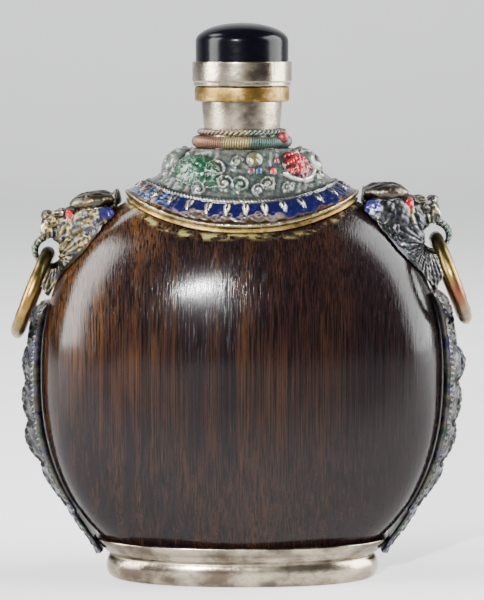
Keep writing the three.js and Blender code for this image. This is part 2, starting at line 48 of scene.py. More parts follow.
camera = bpy.data.objects.new("camera", bpy.data.cameras.new("camera"))
bpy.context.collection.objects.link(camera)
camera.data.angle = 2 * math.atan(PICTURE_HALF_HEIGHT / PICTURE_DISTANCE)
camera.data.clip_start = 0.01
camera.location = CAMERA_PLACE
camera.rotation_euler = (CAMERA_AIM - CAMERA_PLACE).to_track_quat("-Z", "Y").to_euler()
bpy.context.scene.camera = camera


def lamp(name, bearing, height, distance, size, power):
    """A soft light at a bearing from the camera's side towards +X, and an angle up, both in degrees."""
    light = bpy.data.lights.new(name, "AREA")
    light.shape = "ELLIPSE" if size[0] == size[1] else "RECTANGLE"
    light.size, light.size_y = size
    light.energy = power
    turn, rise = math.radians(bearing), math.radians(height)
    away = Vector((math.sin(turn) * math.cos(rise), -math.cos(turn) * math.cos(rise), math.sin(rise)))
    holder = bpy.data.objects.new(name, light)
    holder.location = CAMERA_AIM + away * distance
    holder.rotation_euler = away.to_track_quat("Z", "Y").to_euler()
    bpy.context.collection.objects.link(holder)


lamp("round_lamp", bearing=-15.6, height=18.8, distance=0.7, size=(0.05, 0.05), power=11)
lamp("left_box", bearing=-74, height=20, distance=0.55, size=(0.26, 0.42), power=10.5)
lamp("right_box", bearing=92, height=24, distance=0.6, size=(0.5, 0.6), power=18)
lamp("overhead", bearing=-112, height=52, distance=0.9, size=(0.3, 0.3), power=3.6)

ROOM_COLOUR = (0.86, 0.88, 0.9, 1)
ROOM_STRENGTH = 0.06
world = bpy.data.worlds.new("room")
world.use_nodes = True
world.node_tree.nodes["Background"].inputs["Color"].default_value = ROOM_COLOUR
world.node_tree.nodes["Background"].inputs["Strength"].default_value = ROOM_STRENGTH
bpy.context.scene.world = world

# The lamps are bright, so that the object's own colours are darker than they look on the table.
SHADE = 0.62


def tone(red, green, blue, light=SHADE):
    """A colour as it looks on this table, from 0 to 255, as the linear colour that a shader takes."""
    share = np.array([red, green, blue]) / 255
    return tuple(light * np.where(share > 0.04045, ((share + 0.055) / 1.055) ** 2.4, share / 12.92))


class Paint:
    """A socket in a material. Arithmetic on it adds Math nodes, and node() adds any other node."""

    def __init__(self, tree, socket=None):
        self.tree = tree
        self.socket = socket

    def node(self, kind, sockets, settings=(), output=0):
        made = self.tree.nodes.new(kind)
        for key, value in dict(settings).items():
            setattr(made, key, value)
        for key, value in sockets.items():
            if isinstance(value, Paint):
                self.tree.links.new(value.socket, made.inputs[key])
            else:
                made.inputs[key].default_value = value
        return Paint(self.tree, made.outputs[output])

    def sum_of(self, operation, first, second):
        return self.node("ShaderNodeMath", {0: first, 1: second}, {"operation": operation})

    def __add__(self, other):
        return self.sum_of("ADD", self, other)

    __radd__ = __add__

    def __sub__(self, other):
        return self.sum_of("SUBTRACT", self, other)

    def __rsub__(self, other):
        return self.sum_of("SUBTRACT", other, self)

    def __mul__(self, other):
        return self.sum_of("MULTIPLY", self, other)

    __rmul__ = __mul__

    def between(self, low, high):
        """0 below low and 1 above high, with a soft step between them."""
        sockets = {"Value": self, "From Min": low, "From Max": high}
        return self.node("ShaderNodeMapRange", sockets, {"interpolation_type": "SMOOTHSTEP"})

    def blend(self, low, high):
        """A colour from low, where this is 0, to high, where it is 1."""
        ends = [value if isinstance(value, Paint) else (*value, 1) for value in (low, high)]
        sockets = {0: self, 6: ends[0], 7: ends[1]}
        return self.node("ShaderNodeMix", sockets, {"data_type": "RGBA"}, 2)

    def mark(self, name, output=2):
        """A value that the mesh carries at each point, or its colour with output 0."""
        return self.node("ShaderNodeAttribute", {}, {"attribute_name": name}, output)

    def noise(self, per_mm, detail=2.0, roughness=0.5):
        """Noise in the object's own space, with so many waves to a millimetre along X, Y and Z."""
        place = self.node("ShaderNodeTexCoord", {}, output=3)
        scaled = {0: place, 1: [1000 * count for count in per_mm]}
        stretched = self.node("ShaderNodeVectorMath", scaled, {"operation": "MULTIPLY"})
        sockets = {"Vector": stretched, "Scale": 1.0, "Detail": detail, "Roughness": roughness}
        return self.node("ShaderNodeTexNoise", sockets)

    def bump(self, height, millimetres):
        return self.node("ShaderNodeBump", {"Height": height, "Distance": millimetres / 1000})


def finish(name, painted):
    """A material whose shader sockets are the values and links that painted() gives for a blank Paint."""
    made = bpy.data.materials.new(name)
    made.use_nodes = True
    shader = made.node_tree.nodes["Principled BSDF"]
    for key, value in painted(Paint(made.node_tree)).items():
        if isinstance(value, Paint):
            made.node_tree.links.new(value.socket, shader.inputs[key])
        else:
            shader.inputs[key].default_value = value
    return made


def smoothstep(value, low, high):
    """0 below low and 1 above high, with a soft step between them."""
    share = np.clip((value - low) / (high - low), 0, 1)
    return share * share * (3 - 2 * share)


def sweep_paper(blank):
    # Painted shade darkens the paper near the front, and its emission is a painted glow that grows towards
    # the back.
    pale = blank.noise((0.02, 0.02, 0.02), 3.0).blend(tone(216, 217, 219, 1), tone(226, 226, 225, 1))
    return {
        "Base Color": blank.mark("near_shade").blend(pale, tone(140, 140, 143, 1)),
        "Roughness": 0.85,
        "Emission Color": blank.mark("far_glow", 0),
        "Emission Strength": 1.0,
    }


SWEEP_HALF_WIDTH = 2.2
SWEEP_FRONT = -0.62
SWEEP_BACK = 1.4
SWEEP_CURVE = 0.4
SWEEP_STEPS = 24
SWEEP_TOP = 1.6
SWEEP_GLOW = tone(190, 191, 192, 1)
NEAR_SHADE = (0.03, 0.16)
sweep_line = [(y, 0.0) for y in (SWEEP_FRONT, -0.3, -NEAR_SHADE[1], -0.04, 0.0)]
for step in range(SWEEP_STEPS + 1):
    lean = math.radians(90 * step / SWEEP_STEPS)
    curve_y = SWEEP_BACK - SWEEP_CURVE + SWEEP_CURVE * math.sin(lean)
    sweep_line.append((curve_y, SWEEP_CURVE * (1 - math.cos(lean))))
sweep_line.append((SWEEP_BACK, SWEEP_TOP))
sweep_points = [(side * SWEEP_HALF_WIDTH, y, z) for y, z in sweep_line for side in (-1, 1)]
sweep_faces = [(2 * i, 2 * i + 1, 2 * i + 3, 2 * i + 2) for i in range(len(sweep_line) - 1)]
sweep_mesh = bpy.data.meshes.new("paper_sweep")
sweep_mesh.from_pydata(sweep_points, [], sweep_faces)
sweep_mesh.polygons.foreach_set("use_smooth", [True] * len(sweep_faces))
# Far from the lamps the paper glows with painted light, and under the camera it is darkened with painted
# shade.
sweep_depths = np.array(sweep_points)[:, 1]
near_shade = smoothstep(-sweep_depths, *NEAR_SHADE)
sweep_mesh.attributes.new("near_shade", "FLOAT", "POINT").data.foreach_set("value", near_shade)
glow = np.zeros((len(sweep_points), 4))
glow[:, :3] = np.outer(np.clip(sweep_depths / SWEEP_BACK, 0, 1), SWEEP_GLOW)
sweep_mesh.attributes.new("far_glow", "FLOAT_COLOR", "POINT").data.foreach_set("color", glow.ravel())
sweep_mesh.materials.append(finish("sweep_paper", sweep_paper))
sweep = bpy.data.objects.new("paper_sweep", sweep_mesh)
bpy.context.collection.objects.link(sweep)

# The bottle itself: one block of near-black hardwood, hollowed through its mouth, ground to a flattened
# globe and polished under lacquer. Fine pores run straight up it, with redder streaks on the left.
BODY_HALF = (32.0, 17.0)
BODY_RISE = 31.6
BODY_DROP = 34.0
BODY_MIDDLE = 32.6
BODY_SQUARE = 2.3
BODY_WALL = 3.0
BODY_SEAT = 2.2
BODY_TOP = 62.95
CAVITY_TOP = 60.3
MOUTH_RADIUS = 4.6
MOUTH_DEPTH = 2.1
BODY_COLUMNS = 220
SHELL_ROWS = 170
CAVITY_ROWS = 24


def power(value):
    """A share's weight in the squarish oval: the weights across, deep and up add up to 1 on the shell."""
    return np.abs(value) ** BODY_SQUARE


def root(value):
    """The reverse of power."""
    return np.maximum(value, 0) ** (1 / BODY_SQUARE)


def slant(share):
    """How far the squarish shell faces along an axis, at a share of its half size along it."""
    return np.sign(share) * np.abs(share) ** (BODY_SQUARE - 1)


def tallness(rise):
    """The shell's half height, which is more under its middle than over it."""
    return np.where(rise > 0, BODY_RISE, BODY_DROP)


def body_share(rise):
    """The shell's half width at a height over its middle, as a share of its whole half width."""
    return root(1 - power(rise / tallness(rise)))


def lifted(points, height):
    """Points of the body's surface, about its middle, moved out at a right angle to it."""
    sizes = [BODY_HALF[0], BODY_HALF[1], tallness(points[..., 2])]
    outward = np.stack([slant(points[..., i] / size) / size for i, size in enumerate(sizes)], -1)
    outward /= np.linalg.norm(outward, axis=-1, keepdims=True)
    return points + outward * np.asarray(height)[..., None]


def turns(count):
    """Angles that step evenly round a circle."""
    return np.arange(count) * 2 * np.pi / count


def superoval(angle, half_width, half_depth, square=BODY_SQUARE):
    """A squarish oval's points at angles round it."""
    across, deep = np.cos(angle), np.sin(angle)
    stretch = (np.abs(across) ** square + np.abs(deep) ** square) ** (-1 / square)
    return half_width * across * stretch, half_depth * deep * stretch


def shell_rows(margin, low, high, count, columns):
    """Rows of points up the body's shell between two levels over the ground, drawn in by a margin."""
    rise, drop = BODY_RISE + margin, BODY_DROP + margin
    ends = [(level - BODY_MIDDLE) / (rise if level > BODY_MIDDLE else drop) for level in (low, high)]
    turn = np.linspace(*[np.sign(e) * np.arcsin(abs(e) ** (BODY_SQUARE / 2)) for e in ends], count)
    up = np.sign(turn) * np.abs(np.sin(turn)) ** (2 / BODY_SQUARE)
    share = np.abs(np.cos(turn)) ** (2 / BODY_SQUARE)
    x, y = superoval(turns(columns), BODY_HALF[0] + margin, BODY_HALF[1] + margin)
    level = BODY_MIDDLE + np.where(up > 0, rise, drop) * up
    return np.stack([np.outer(share, x), np.outer(share, y), np.outer(level, np.ones(columns))], -1)


def skin(grid, joined):
    """A closed surface, as points and faces, through rows that go round. They join up, or end in poles."""
    rows, columns = grid.shape[:2]
    index = np.arange(rows * columns).reshape(rows, columns)
    low = index if joined else index[:-1]
    high = np.roll(index, -1, axis=0) if joined else index[1:]
    points = grid.reshape(-1, 3)
    faces = np.stack([low, np.roll(low, -1, 1), np.roll(high, -1, 1), high], -1).reshape(-1, 4).tolist()
    if not joined:
        points = np.vstack([points, grid[0].mean(0), grid[-1].mean(0)])
        first, last = rows * columns, rows * columns + 1
        faces += [[first, b, a] for a, b in zip(index[0], np.roll(index[0], -1))]
        faces += [[last, a, b] for a, b in zip(index[-1], np.roll(index[-1], -1))]
    corners = np.array([face[:3] for face in faces])
    a, b, c = (points[corners[:, i]] for i in range(3))
    if np.sum(np.cross(a, b) * c) < 0:
        faces = [face[::-1] for face in faces]
    return points, faces


def on_poles(values, joined=False):
    """A grid of values as one list, with those of the two poles after it."""
    flat = values.reshape(-1, *values.shape[2:])
    if joined:
        return flat
    return np.concatenate([flat, values[:1].mean(1), values[-1:].mean(1)])


def made(name, surface, body, slot, material, **marks):
    """A smooth mesh object from a surface in millimetres, with values or colours at its points."""
    points, faces = surface
    mesh = bpy.data.meshes.new(name)
    mesh.from_pydata((np.asarray(points) / 1000).tolist(), [], faces)
    mesh.polygons.foreach_set("use_smooth", [True] * len(mesh.polygons))
    for key, values in marks.items():
        if values.ndim == 2:
            colours = np.hstack([values, np.ones((len(values), 1))])
            mesh.attributes.new(key, "FLOAT_COLOR", "POINT").data.foreach_set("color", colours.ravel())
        else:
            mesh.attributes.new(key, "FLOAT", "POINT").data.foreach_set("value", values.ravel())
    mesh.materials.append(material)
    piece = bpy.data.objects.new(name, mesh)
    bpy.context.collection.objects.link(piece)
    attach(piece, body)
    return piece


def wave(points, length, seed):
    """Smooth irregularity between about -1 and 1, with swells of a length in millimetres."""
    draw = np.random.default_rng(seed)
    total = 0
    for _ in range(7):
        course = draw.normal(size=3)
        course *= 2 * np.pi / length * draw.uniform(0.6, 1.5) / np.linalg.norm(course)
        total = total + np.sin(points @ course + draw.uniform(0, 2 * np.pi))
    return total / 3


def polished_wood(blank):
    fibre = blank.noise((4.4, 1.5, 0.04), 3.0, 0.6).between(0.3, 0.7)
    streak = blank.noise((0.6, 0.2, 0.01), 5.0, 0.7)
    pore = blank.noise((5.0, 1.7, 0.2), 2.0).between(0.56, 0.68)
    patch = blank.noise((0.06, 0.04, 0.018), 4.0, 0.6).between(0.4, 0.66)
    left = blank.mark("warm_side")
    warm = (streak.between(0.44, 0.72) * 0.45 + patch * 0.5) * (0.05 + 0.95 * left)
    brown = fibre.blend(tone(24, 15, 10), tone(112, 72, 34))
    dark = fibre.blend(tone(10, 7, 9), tone(30, 19, 22))
    grain = warm.blend(dark, brown)
    open_grain = (pore * 0.7).blend(grain, tone(8, 5, 5))
    glue = blank.mark("glue") * blank.noise((0.4, 0.6, 1.0), 4.0, 0.6).between(0.5, 0.6)
    dust = blank.mark("glue") * blank.noise((1.2, 1.2, 1.6), 3.0).between(0.42, 0.72) * 0.45
    dusty = dust.blend(open_grain, tone(120, 110, 84))
    surface = fibre * 0.8 - pore * 0.3 + glue * 2.0
    return {
        "Base Color": glue.blend(dusty, tone(156, 146, 84)),
        "Roughness": 0.15 + pore * 0.15 + dust * 0.4 + glue * 0.3,
        "Specular IOR Level": 0.2,
        "Normal": blank.bump(surface, 0.008),
    }


shell = shell_rows(0, BODY_SEAT, BODY_TOP, SHELL_ROWS, BODY_COLUMNS)

# The broad sides were ground a little rounder across their middle than the narrow ones.
FLANK_WIDTH = 40.0
FLANK_DEPTHS = (5.0, 13.0)
FLANK_ROUNDING = 0.85
flank = 0.5 - 0.5 * np.cos(2 * np.pi * np.clip(np.abs(shell[..., 0]) / FLANK_WIDTH, 0, 1))
flank *= smoothstep(np.abs(shell[..., 1]), *FLANK_DEPTHS)
shell[..., 1] -= FLANK_ROUNDING * flank * np.sign(shell[..., 1])

# The hand grinding left the shell uneven by a few hundredths of a millimetre.
HAND_WAVE = 0.03
HAND_WAVE_LENGTH = 9.0
uneven = HAND_WAVE * wave(shell, HAND_WAVE_LENGTH, 3) - HAND_WAVE
middle = np.array([0, 0, BODY_MIDDLE])
shell = lifted(shell - middle, uneven) + middle

mouth_turn = turns(BODY_COLUMNS)
mouth_circle = MOUTH_RADIUS * np.array([np.cos(mouth_turn), np.sin(mouth_turn)])
mouth_rim = np.vstack([mouth_circle, np.full(BODY_COLUMNS, BODY_TOP)]).T[None]
cavity = shell_rows(-BODY_WALL, BODY_SEAT + BODY_WALL, CAVITY_TOP, CAVITY_ROWS, BODY_COLUMNS)
body_grid = np.concatenate([shell, mouth_rim, mouth_rim - [0, 0, MOUTH_DEPTH], cavity[::-1]])

# Glue has crept out from under the cape onto the wood, mostly along the front, and the wood is warmer in
# colour on the left, most of all in its upper half.
CAPE_HALF = (17.9, 12.5)
GLUE_LINE = 0.034
GLUE_HALF_WIDTH = 0.024
WARM_WIDTH = 40.0
WARM_LEVELS = (20.0, 36.0)
body_x, body_y, body_z = np.moveaxis(body_grid, -1, 0)
beyond_cape = root(power(body_x / CAPE_HALF[0]) + power(body_y / CAPE_HALF[1])) - 1
glue_band = np.clip(1 - np.abs(beyond_cape - GLUE_LINE) / GLUE_HALF_WIDTH, 0, 1) * (body_z > BODY_MIDDLE)
glue_band *= 0.75 + 0.25 * np.clip((2 - body_x) / 6, -1, 1)
warm_side = np.clip(0.5 - body_x / WARM_WIDTH, 0, 1) * (0.4 + 0.6 * smoothstep(body_z, *WARM_LEVELS))
bottle = made(
    "wooden_body",
    skin(body_grid, False),
    "bottle",
    "polished_wood",
    finish("polished_wood", polished_wood),
    glue=on_poles(glue_band),
    warm_side=on_poles(warm_side),
)
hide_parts("bottle_body")

# The foot: white metal, an oval collar flared over a groove and a rolled rim, spun and soldered round a
# shallow floor. It is rubbed bright on its edges and brown in the groove.
FOOT_HEIGHT = 6.4
FOOT_FLOOR = 2.1
FOOT_HALF = tuple(half * float(body_share(FOOT_HEIGHT - BODY_MIDDLE)) for half in BODY_HALF)
ROLL_OUTER = FOOT_HALF[0] - 0.8
ROLL_DEPTH = 0.9
GROOVE_LEVEL = 3.45
FOOT_RECESS = 0.9
FOOT_COLLAR = 0.9
FOOT_COLUMNS = 280
POLE_RADIUS = 0.6


def foot_oval(radius, angle):
    """A point of the foot's plan: turned round, and drawn out into the oval of the wood over it."""
    x, y = superoval(angle, *FOOT_HALF)
    out_x, out_y = slant(x / FOOT_HALF[0]) / FOOT_HALF[0], slant(y / FOOT_HALF[1]) / FOOT_HALF[1]
    length = np.hypot(out_x, out_y)
    inner, outer = min(radius / FOOT_HALF[0], 1), max(radius - FOOT_HALF[0], 0)
    return x * inner + out_x / length * outer, y * inner + out_y / length * outer


def lathe(profile, columns, plan=None):
    """Rows of points round +Z through a profile of (radius, level), or round another plan."""
    angle = turns(columns)
    rows = []
    for radius, level in profile:
        x, y = plan(radius, angle) if plan else (radius * np.cos(angle), radius * np.sin(angle))
        rows.append(np.stack([x, y, np.full(columns, level)], -1))
    return np.array(rows)


def rounded(corners, step=0.25):
    """A profile through (radius, level, fillet) corners, with an arc at each and points between them."""
    line = []
    for i, (radius, level, fillet) in enumerate(corners):
        here = np.array([radius, level])
        if not fillet or i in (0, len(corners) - 1):
            line.append(here)
            continue
        before, after = (np.array(corners[i + k][:2]) - here for k in (-1, 1))
        start = here + before * min(fillet / np.linalg.norm(before), 0.5)
        end = here + after * min(fillet / np.linalg.norm(after), 0.5)
        for t in np.linspace(0, 1, 6):
            line.append((1 - t) ** 2 * start + 2 * t * (1 - t) * here + t**2 * end)
    dense = [line[0]]
    for a, b in zip(line, line[1:]):
        pieces = max(int(np.ceil(np.linalg.norm(b - a) / step)), 1)
        dense += [a + (b - a) * k / pieces for k in range(1, pieces + 1)]
    return [tuple(point) for point in dense]


def normals(surface):
    """The direction straight out of a surface at each of its points."""
    points, faces = surface
    corners = np.array([face[:3] for face in faces])
    a, b, c = (points[corners[:, i]] for i in range(3))
    flat = np.cross(b - a, c - a)
    out = [sum(np.bincount(corners[:, i], flat[:, k], len(points)) for i in range(3)) for k in range(3)]
    return np.stack(out, -1) / (np.linalg.norm(out, axis=0)[:, None] + 1e-12)


def ridges(surface, rounds):
    """How far each point stands over the surface about it, in millimetres: its ridges over its hollows."""
    points, faces = surface
    edges = np.array([(face[i], face[i - 1]) for face in faces for i in range(len(face))])
    start, end = edges[:, 0], edges[:, 1]
    total = len(points)
    near = np.bincount(start, minlength=total) + np.bincount(end, minlength=total)
    smooth = points.copy()
    for _ in range(rounds):
        parts = [
            np.bincount(start, smooth[end, k], total) + np.bincount(end, smooth[start, k], total)
            for k in range(3)
        ]
        smooth = np.stack(parts, -1) / near[:, None]
    return np.sum((points - smooth) * normals((smooth, faces)), -1)


def white_metal(blank):
    cloud = blank.noise((0.16, 0.16, 0.22), 4.0, 0.6)
    scuff = blank.noise((1.6, 1.6, 2.2), 4.0, 0.6)
    hollow = 1 - blank.mark("ridge").between(-0.1, 0.045)
    worn = cloud.between(0.36, 0.64).blend(tone(112, 100, 88), tone(210, 196, 172))
    dirty = (hollow * 0.85).blend(worn, tone(56, 44, 36))
    return {
        "Base Color": (scuff.between(0.56, 0.72) * 0.5).blend(dirty, tone(96, 76, 60)),
        "Metallic": 1 - hollow * 0.4,
        "Roughness": 0.16 + cloud * 0.16 + hollow * 0.3,
        "Normal": blank.bump(scuff * 0.4 + cloud * 4.0, 0.03),
    }


foot_metal = finish("white_metal", white_metal)
roll = [
    (ROLL_OUTER - ROLL_DEPTH + ROLL_DEPTH * math.cos(t), GROOVE_LEVEL / 2 * (1 + math.sin(t)))
    for t in np.radians(np.arange(-90, 61, 10))
]


def wood_beside(level):
    """The half width of the wood at a level over the ground, with room for glue."""
    return BODY_HALF[0] * float(body_share(level - BODY_MIDDLE)) + 0.3


underside = [(17.0, FOOT_RECESS, 0), (17.6, FOOT_RECESS, 0.3), (18.5, 0, 0.3), (*roll[0], 0)]
collar_and_floor = [
    (ROLL_OUTER - 0.55, GROOVE_LEVEL - 0.1, 0),
    (ROLL_OUTER - 0.75, GROOVE_LEVEL + 0.15, 0.2),
    (ROLL_OUTER + 0.1, GROOVE_LEVEL + 0.75, 0.5),
    (FOOT_HALF[0] + 0.62, FOOT_HEIGHT - 0.75, 0.4),
    (FOOT_HALF[0] + FOOT_COLLAR, FOOT_HEIGHT - 0.3, 0.2),
    (FOOT_HALF[0] + FOOT_COLLAR - 0.04, FOOT_HEIGHT, 0.15),
    (FOOT_HALF[0] + 0.3, FOOT_HEIGHT, 0.1),
    (wood_beside(4.25), 4.25, 0.2),
    (wood_beside(FOOT_FLOOR), FOOT_FLOOR, 0.2),
    (16.0, FOOT_FLOOR, 0),
]
foot_profile = [(POLE_RADIUS, FOOT_RECESS)] + rounded(underside) + roll[1:]
foot_profile += rounded(collar_and_floor) + [(POLE_RADIUS, FOOT_FLOOR)]
foot_grid = lathe(foot_profile, FOOT_COLUMNS, foot_oval)
foot_grid[..., :2] *= 1 + 0.0012 * wave(foot_grid, 12, 5)[..., None]
foot_skin = skin(foot_grid, False)
foot = made("oval_foot", foot_skin, "bottle", "white_metal", foot_metal, ridge=ridges(foot_skin, 14))
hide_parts("foot_mount")

# The cape: a sheet of silver raised over a form, with a skirt of pointed tongues in blue enamel under a
# twisted wire, and a dome of enamelled flowers and silver scrolls on green patina round the neck.
CAPE_WIRE_HALF = (14.4, 10.1)
CAPE_NECK_RADIUS = 6.1
CAPE_NECK_RISE = BODY_RISE + 4.2
CAPE_FLOOR = 0.6
CAPE_THICKNESS = 0.8
CAPE_NECK_GAP = 0.3
CAPE_COLUMNS = 570
SKIRT_ROWS = 38
DOME_ROWS = 73
CAPE_TONGUES = 30


def lerp(low, high, share):
    """A value on the way from low to high."""
    return low + (high - low) * share


def cape_plan(reach, angle):
    """A point of the cape's plan. Its reach is 0 at the neck, 1 at the wire and 2 at the edge."""
    inner, outer = np.minimum(reach, 1), np.maximum(reach - 1, 0)
    half = [
        lerp(CAPE_NECK_RADIUS, wire, inner) + (edge - wire) * outer
        for wire, edge in zip(CAPE_WIRE_HALF, CAPE_HALF)
    ]
    return superoval(angle, *half, lerp(2, BODY_SQUARE, inner))


def shoulder(x, y, height):
    """Points at a height over the wood's shoulder, about the body's middle."""
    rise = BODY_RISE * root(1 - power(x / BODY_HALF[0]) - power(y / BODY_HALF[1]))
    return lifted(np.stack([x, y, rise], -1), height)


def cape_top(reach, angle):
    """The cape's upper side without its relief."""
    height = np.full(reach.shape, CAPE_FLOOR + CAPE_THICKNESS)
    skirt = shoulder(*cape_plan(np.maximum(reach, 1), angle), height)
    climb = np.minimum(1.22 * (1 - reach), 1)
    rise = lerp(skirt[..., 2], CAPE_NECK_RISE, lerp(climb, smoothstep(climb, 0, 1), 0.35))
    neck = np.stack([np.cos(angle), np.sin(angle)], -1) * CAPE_NECK_RADIUS
    dome = np.dstack([lerp(skirt[..., :2], neck, (1 - reach)[..., None]), rise])
    return np.where((reach < 1)[..., None], dome, skirt)


def raised(grid, height):
    """A grid of points moved out along its normals by a height."""
    along = np.gradient(grid, axis=0)
    round_it = np.roll(grid, -1, 1) - np.roll(grid, 1, 1)
    normal = np.cross(round_it, along)
    normal /= np.linalg.norm(normal, axis=-1, keepdims=True)
    return grid + normal * height[..., None]


def tinted(ground, *layers):
    """A ground colour with layers of (mask, colour) laid over it."""
    colour = np.array(ground)
    for mask, over in layers:
        colour = lerp(colour, np.array(over), np.clip(mask, 0, 1)[..., None])
    return colour


def patches(points, length, seed, low, high):
    """Soft-edged patches, as 1 where the irregularity is above high and 0 where it is below low."""
    return smoothstep(wave(points, length, seed), low, high)


FINE_STEPS = 20000
SKIRT_MIDDLE = 1.45


def even_angles(count):
    """Angles that step evenly along the middle of the cape's skirt, starting at the front."""
    fine = np.linspace(-np.pi / 2, 1.5 * np.pi, FINE_STEPS + 1)
    x, y = cape_plan(np.full(fine.shape, SKIRT_MIDDLE), fine)
    length = np.concatenate([[0], np.cumsum(np.hypot(np.diff(x), np.diff(y)))])
    return np.interp(np.arange(count) / count * length[-1], length, fine), length[-1]


cape_angles, cape_girth = even_angles(CAPE_COLUMNS)
cape_reach = np.concatenate([np.linspace(1.985, 1, SKIRT_ROWS), np.linspace(1, 0, DOME_ROWS + 1)[1:]])
reach, angle = np.meshgrid(cape_reach, cape_angles, indexing="ij")
run = np.broadcast_to(np.arange(CAPE_COLUMNS) / CAPE_COLUMNS * cape_girth, reach.shape)
cape_base = cape_top(reach, angle)
# The back is worn as the front is, so a bearing is counted from the middle of either.
bearing = (np.degrees(angle) + 180) % 180 - 90

# The skirt's tongues, each round at its head and pointed outwards, and the twisted wire above them.
TONGUE_START = 1.1
TONGUE_SHIFT = 0.2
TONGUE_REACH = 0.52
TONGUE_HALF_WIDTH = 0.48
TONGUE_HEIGHT = 0.38
WIRE_HALF = 0.42
WIRE_STRAND = 0.56
WIRE_TWIST = 0.9
WIRE_HEIGHT = 0.36
EDGE_REACH = 1.94
EDGE_HALF = 0.2 / 3.4
EDGE_HEIGHT = 0.16
tongue_pitch = cape_girth / CAPE_TONGUES
from_tongue = ((run / tongue_pitch - TONGUE_SHIFT + 0.5) % 1 - 0.5) * tongue_pitch
down = np.clip((reach - TONGUE_START) / TONGUE_REACH, 0, 1)
tongue_width = TONGUE_HALF_WIDTH * np.sin(np.pi * down**0.55)
tongue = np.sqrt(np.clip(1 - (from_tongue / (tongue_width + 1e-6)) ** 2, 0, 1)) * (tongue_width > 0.02)
skirt_length = np.linalg.norm(cape_base[SKIRT_ROWS - 1] - cape_base[0], axis=-1)
dome_length = np.linalg.norm(cape_base[-1] - cape_base[SKIRT_ROWS], axis=-1)
from_wire = (reach - 1) * np.where(reach > 1, skirt_length, dome_length)
rope = np.sqrt(np.clip(1 - (from_wire / WIRE_HALF) ** 2, 0, None))
strand = 0.5 + 0.5 * np.cos(2 * np.pi * (run / WIRE_STRAND - from_wire / WIRE_TWIST))
edge_bead = np.sqrt(np.clip(1 - ((reach - EDGE_REACH) / EDGE_HALF) ** 2, 0, 1))

# The front of the skirt's edge has lost its enamel, and all of the margin is bare and brown.
pitted = wave(cape_base, 0.9, 13)
ragged = wave(cape_base * [0.5, 0.5, 1], 1.0, 11) + 0.8 * wave(cape_base, 3.0, 12)
worn_front = smoothstep(bearing, -38, -30) * (1 - smoothstep(bearing, 12, 24))
worn = worn_front * smoothstep(reach + 0.1 * ragged, 1.56, 1.66)
margin = smoothstep(reach + 0.05 * ragged, 1.78, 1.84)

cape_relief = TONGUE_HEIGHT * tongue * (0.6 + 0.4 * np.sin(np.pi * down))
cape_relief += WIRE_HEIGHT * rope * (0.6 + 0.4 * strand) + EDGE_HEIGHT * edge_bead
cape_relief += 0.03 * pitted * (reach > 1.05) - 0.05 * worn
enamel = smoothstep(reach, 1.05, 1.1) * (1 - margin) * (1 - worn) * (1 - smoothstep(tongue, 0.3, 0.55))
gilt = 1 - smoothstep(bearing, -50, -34)
silver = smoothstep(bearing, -40, -30) * (1 - smoothstep(bearing, 2, 20))
cape_tint = tinted(
    tone(106, 115, 108),
    (patches(cape_base, 3.1, 21, 0.1, 0.8) * 0.6, tone(58, 94, 80)),
    (patches(cape_base, 1.6, 22, 0.3, 0.9) * 0.5, tone(156, 140, 122)),
    (patches(cape_base, 2.4, 23, 0.5, 1.0) * 0.5, tone(86, 74, 104)),
    (reach > 1.02, tone(52, 58, 86)),
    (enamel, tone(12, 13, 62)),
    (enamel * patches(cape_base, 1.3, 14, 0.3, 0.8) * 0.5, tone(28, 34, 84)),
    (enamel * smoothstep(-bearing, 34, 50) * smoothstep(pitted, -0.5, 0.5) * 0.7, tone(84, 108, 136)),
    (smoothstep(tongue, 0.35, 0.6) * 0.9, tone(112, 116, 136)),
    (smoothstep(tongue, 0.35, 0.6) * silver, tone(150, 144, 124)),
    (smoothstep(tongue, 0.35, 0.6) * gilt, tone(176, 134, 90)),
    (worn, tone(222, 198, 178)),
    (worn * smoothstep(pitted, 0.1, 0.6) * 0.6, tone(84, 84, 120)),
    (margin, tone(150, 112, 80)),
    (edge_bead, tone(160, 150, 112)),
    (rope, tone(92, 96, 94)),
    (rope * silver * smoothstep(strand, 0.4, 0.7), tone(220, 216, 200)),
)
cape_glaze = np.maximum(enamel, 0.5 * (reach < 0.96))


DOME_SLOPE = (0.78, 0.62)


def around(place_bearing, place_reach):
    """Millimetres round and up the cape from a place on its front, or on its back where that is nearer."""
    offsets = []
    for half_turn in (0, 180):
        turn = math.radians(place_bearing - 90 + half_turn)
        middle = cape_top(np.array([[place_reach]]), np.array([[turn]]))[0, 0]
        out = np.array([middle[0], middle[1], 0]) / np.hypot(*middle[:2])
        offset = cape_base - middle
        across = offset @ [-out[1], out[0], 0]
        up = offset @ [-DOME_SLOPE[0] * out[0], -DOME_SLOPE[0] * out[1], DOME_SLOPE[1]]
        offsets.append(np.stack([across, up, np.linalg.norm(offset, axis=-1)]))
    front, back = offsets
    return np.where(front[2] < back[2], front, back)[:2]


def scroll(across, up, middle, size, hand):
    """A spiral line of one turn and a half, as 1 on the line and 0 beside it."""
    x, y = (across - middle[0]) * hand, up - middle[1]
    far = np.hypot(x, y) / size
    turn = (np.arctan2(y, x) / (2 * np.pi) - 1.5 * far) % 1
    return np.clip(1 - (np.minimum(turn, 1 - turn) * far * 2 * np.pi / 0.55) ** 2, 0, 1) * (far < 1)


def mound(across, up, half_width, half_height):
    """1 in the middle of an oval, falling to 0 at its edge."""
    return np.clip(1 - (across / half_width) ** 2 - (up / half_height) ** 2, 0, 1)


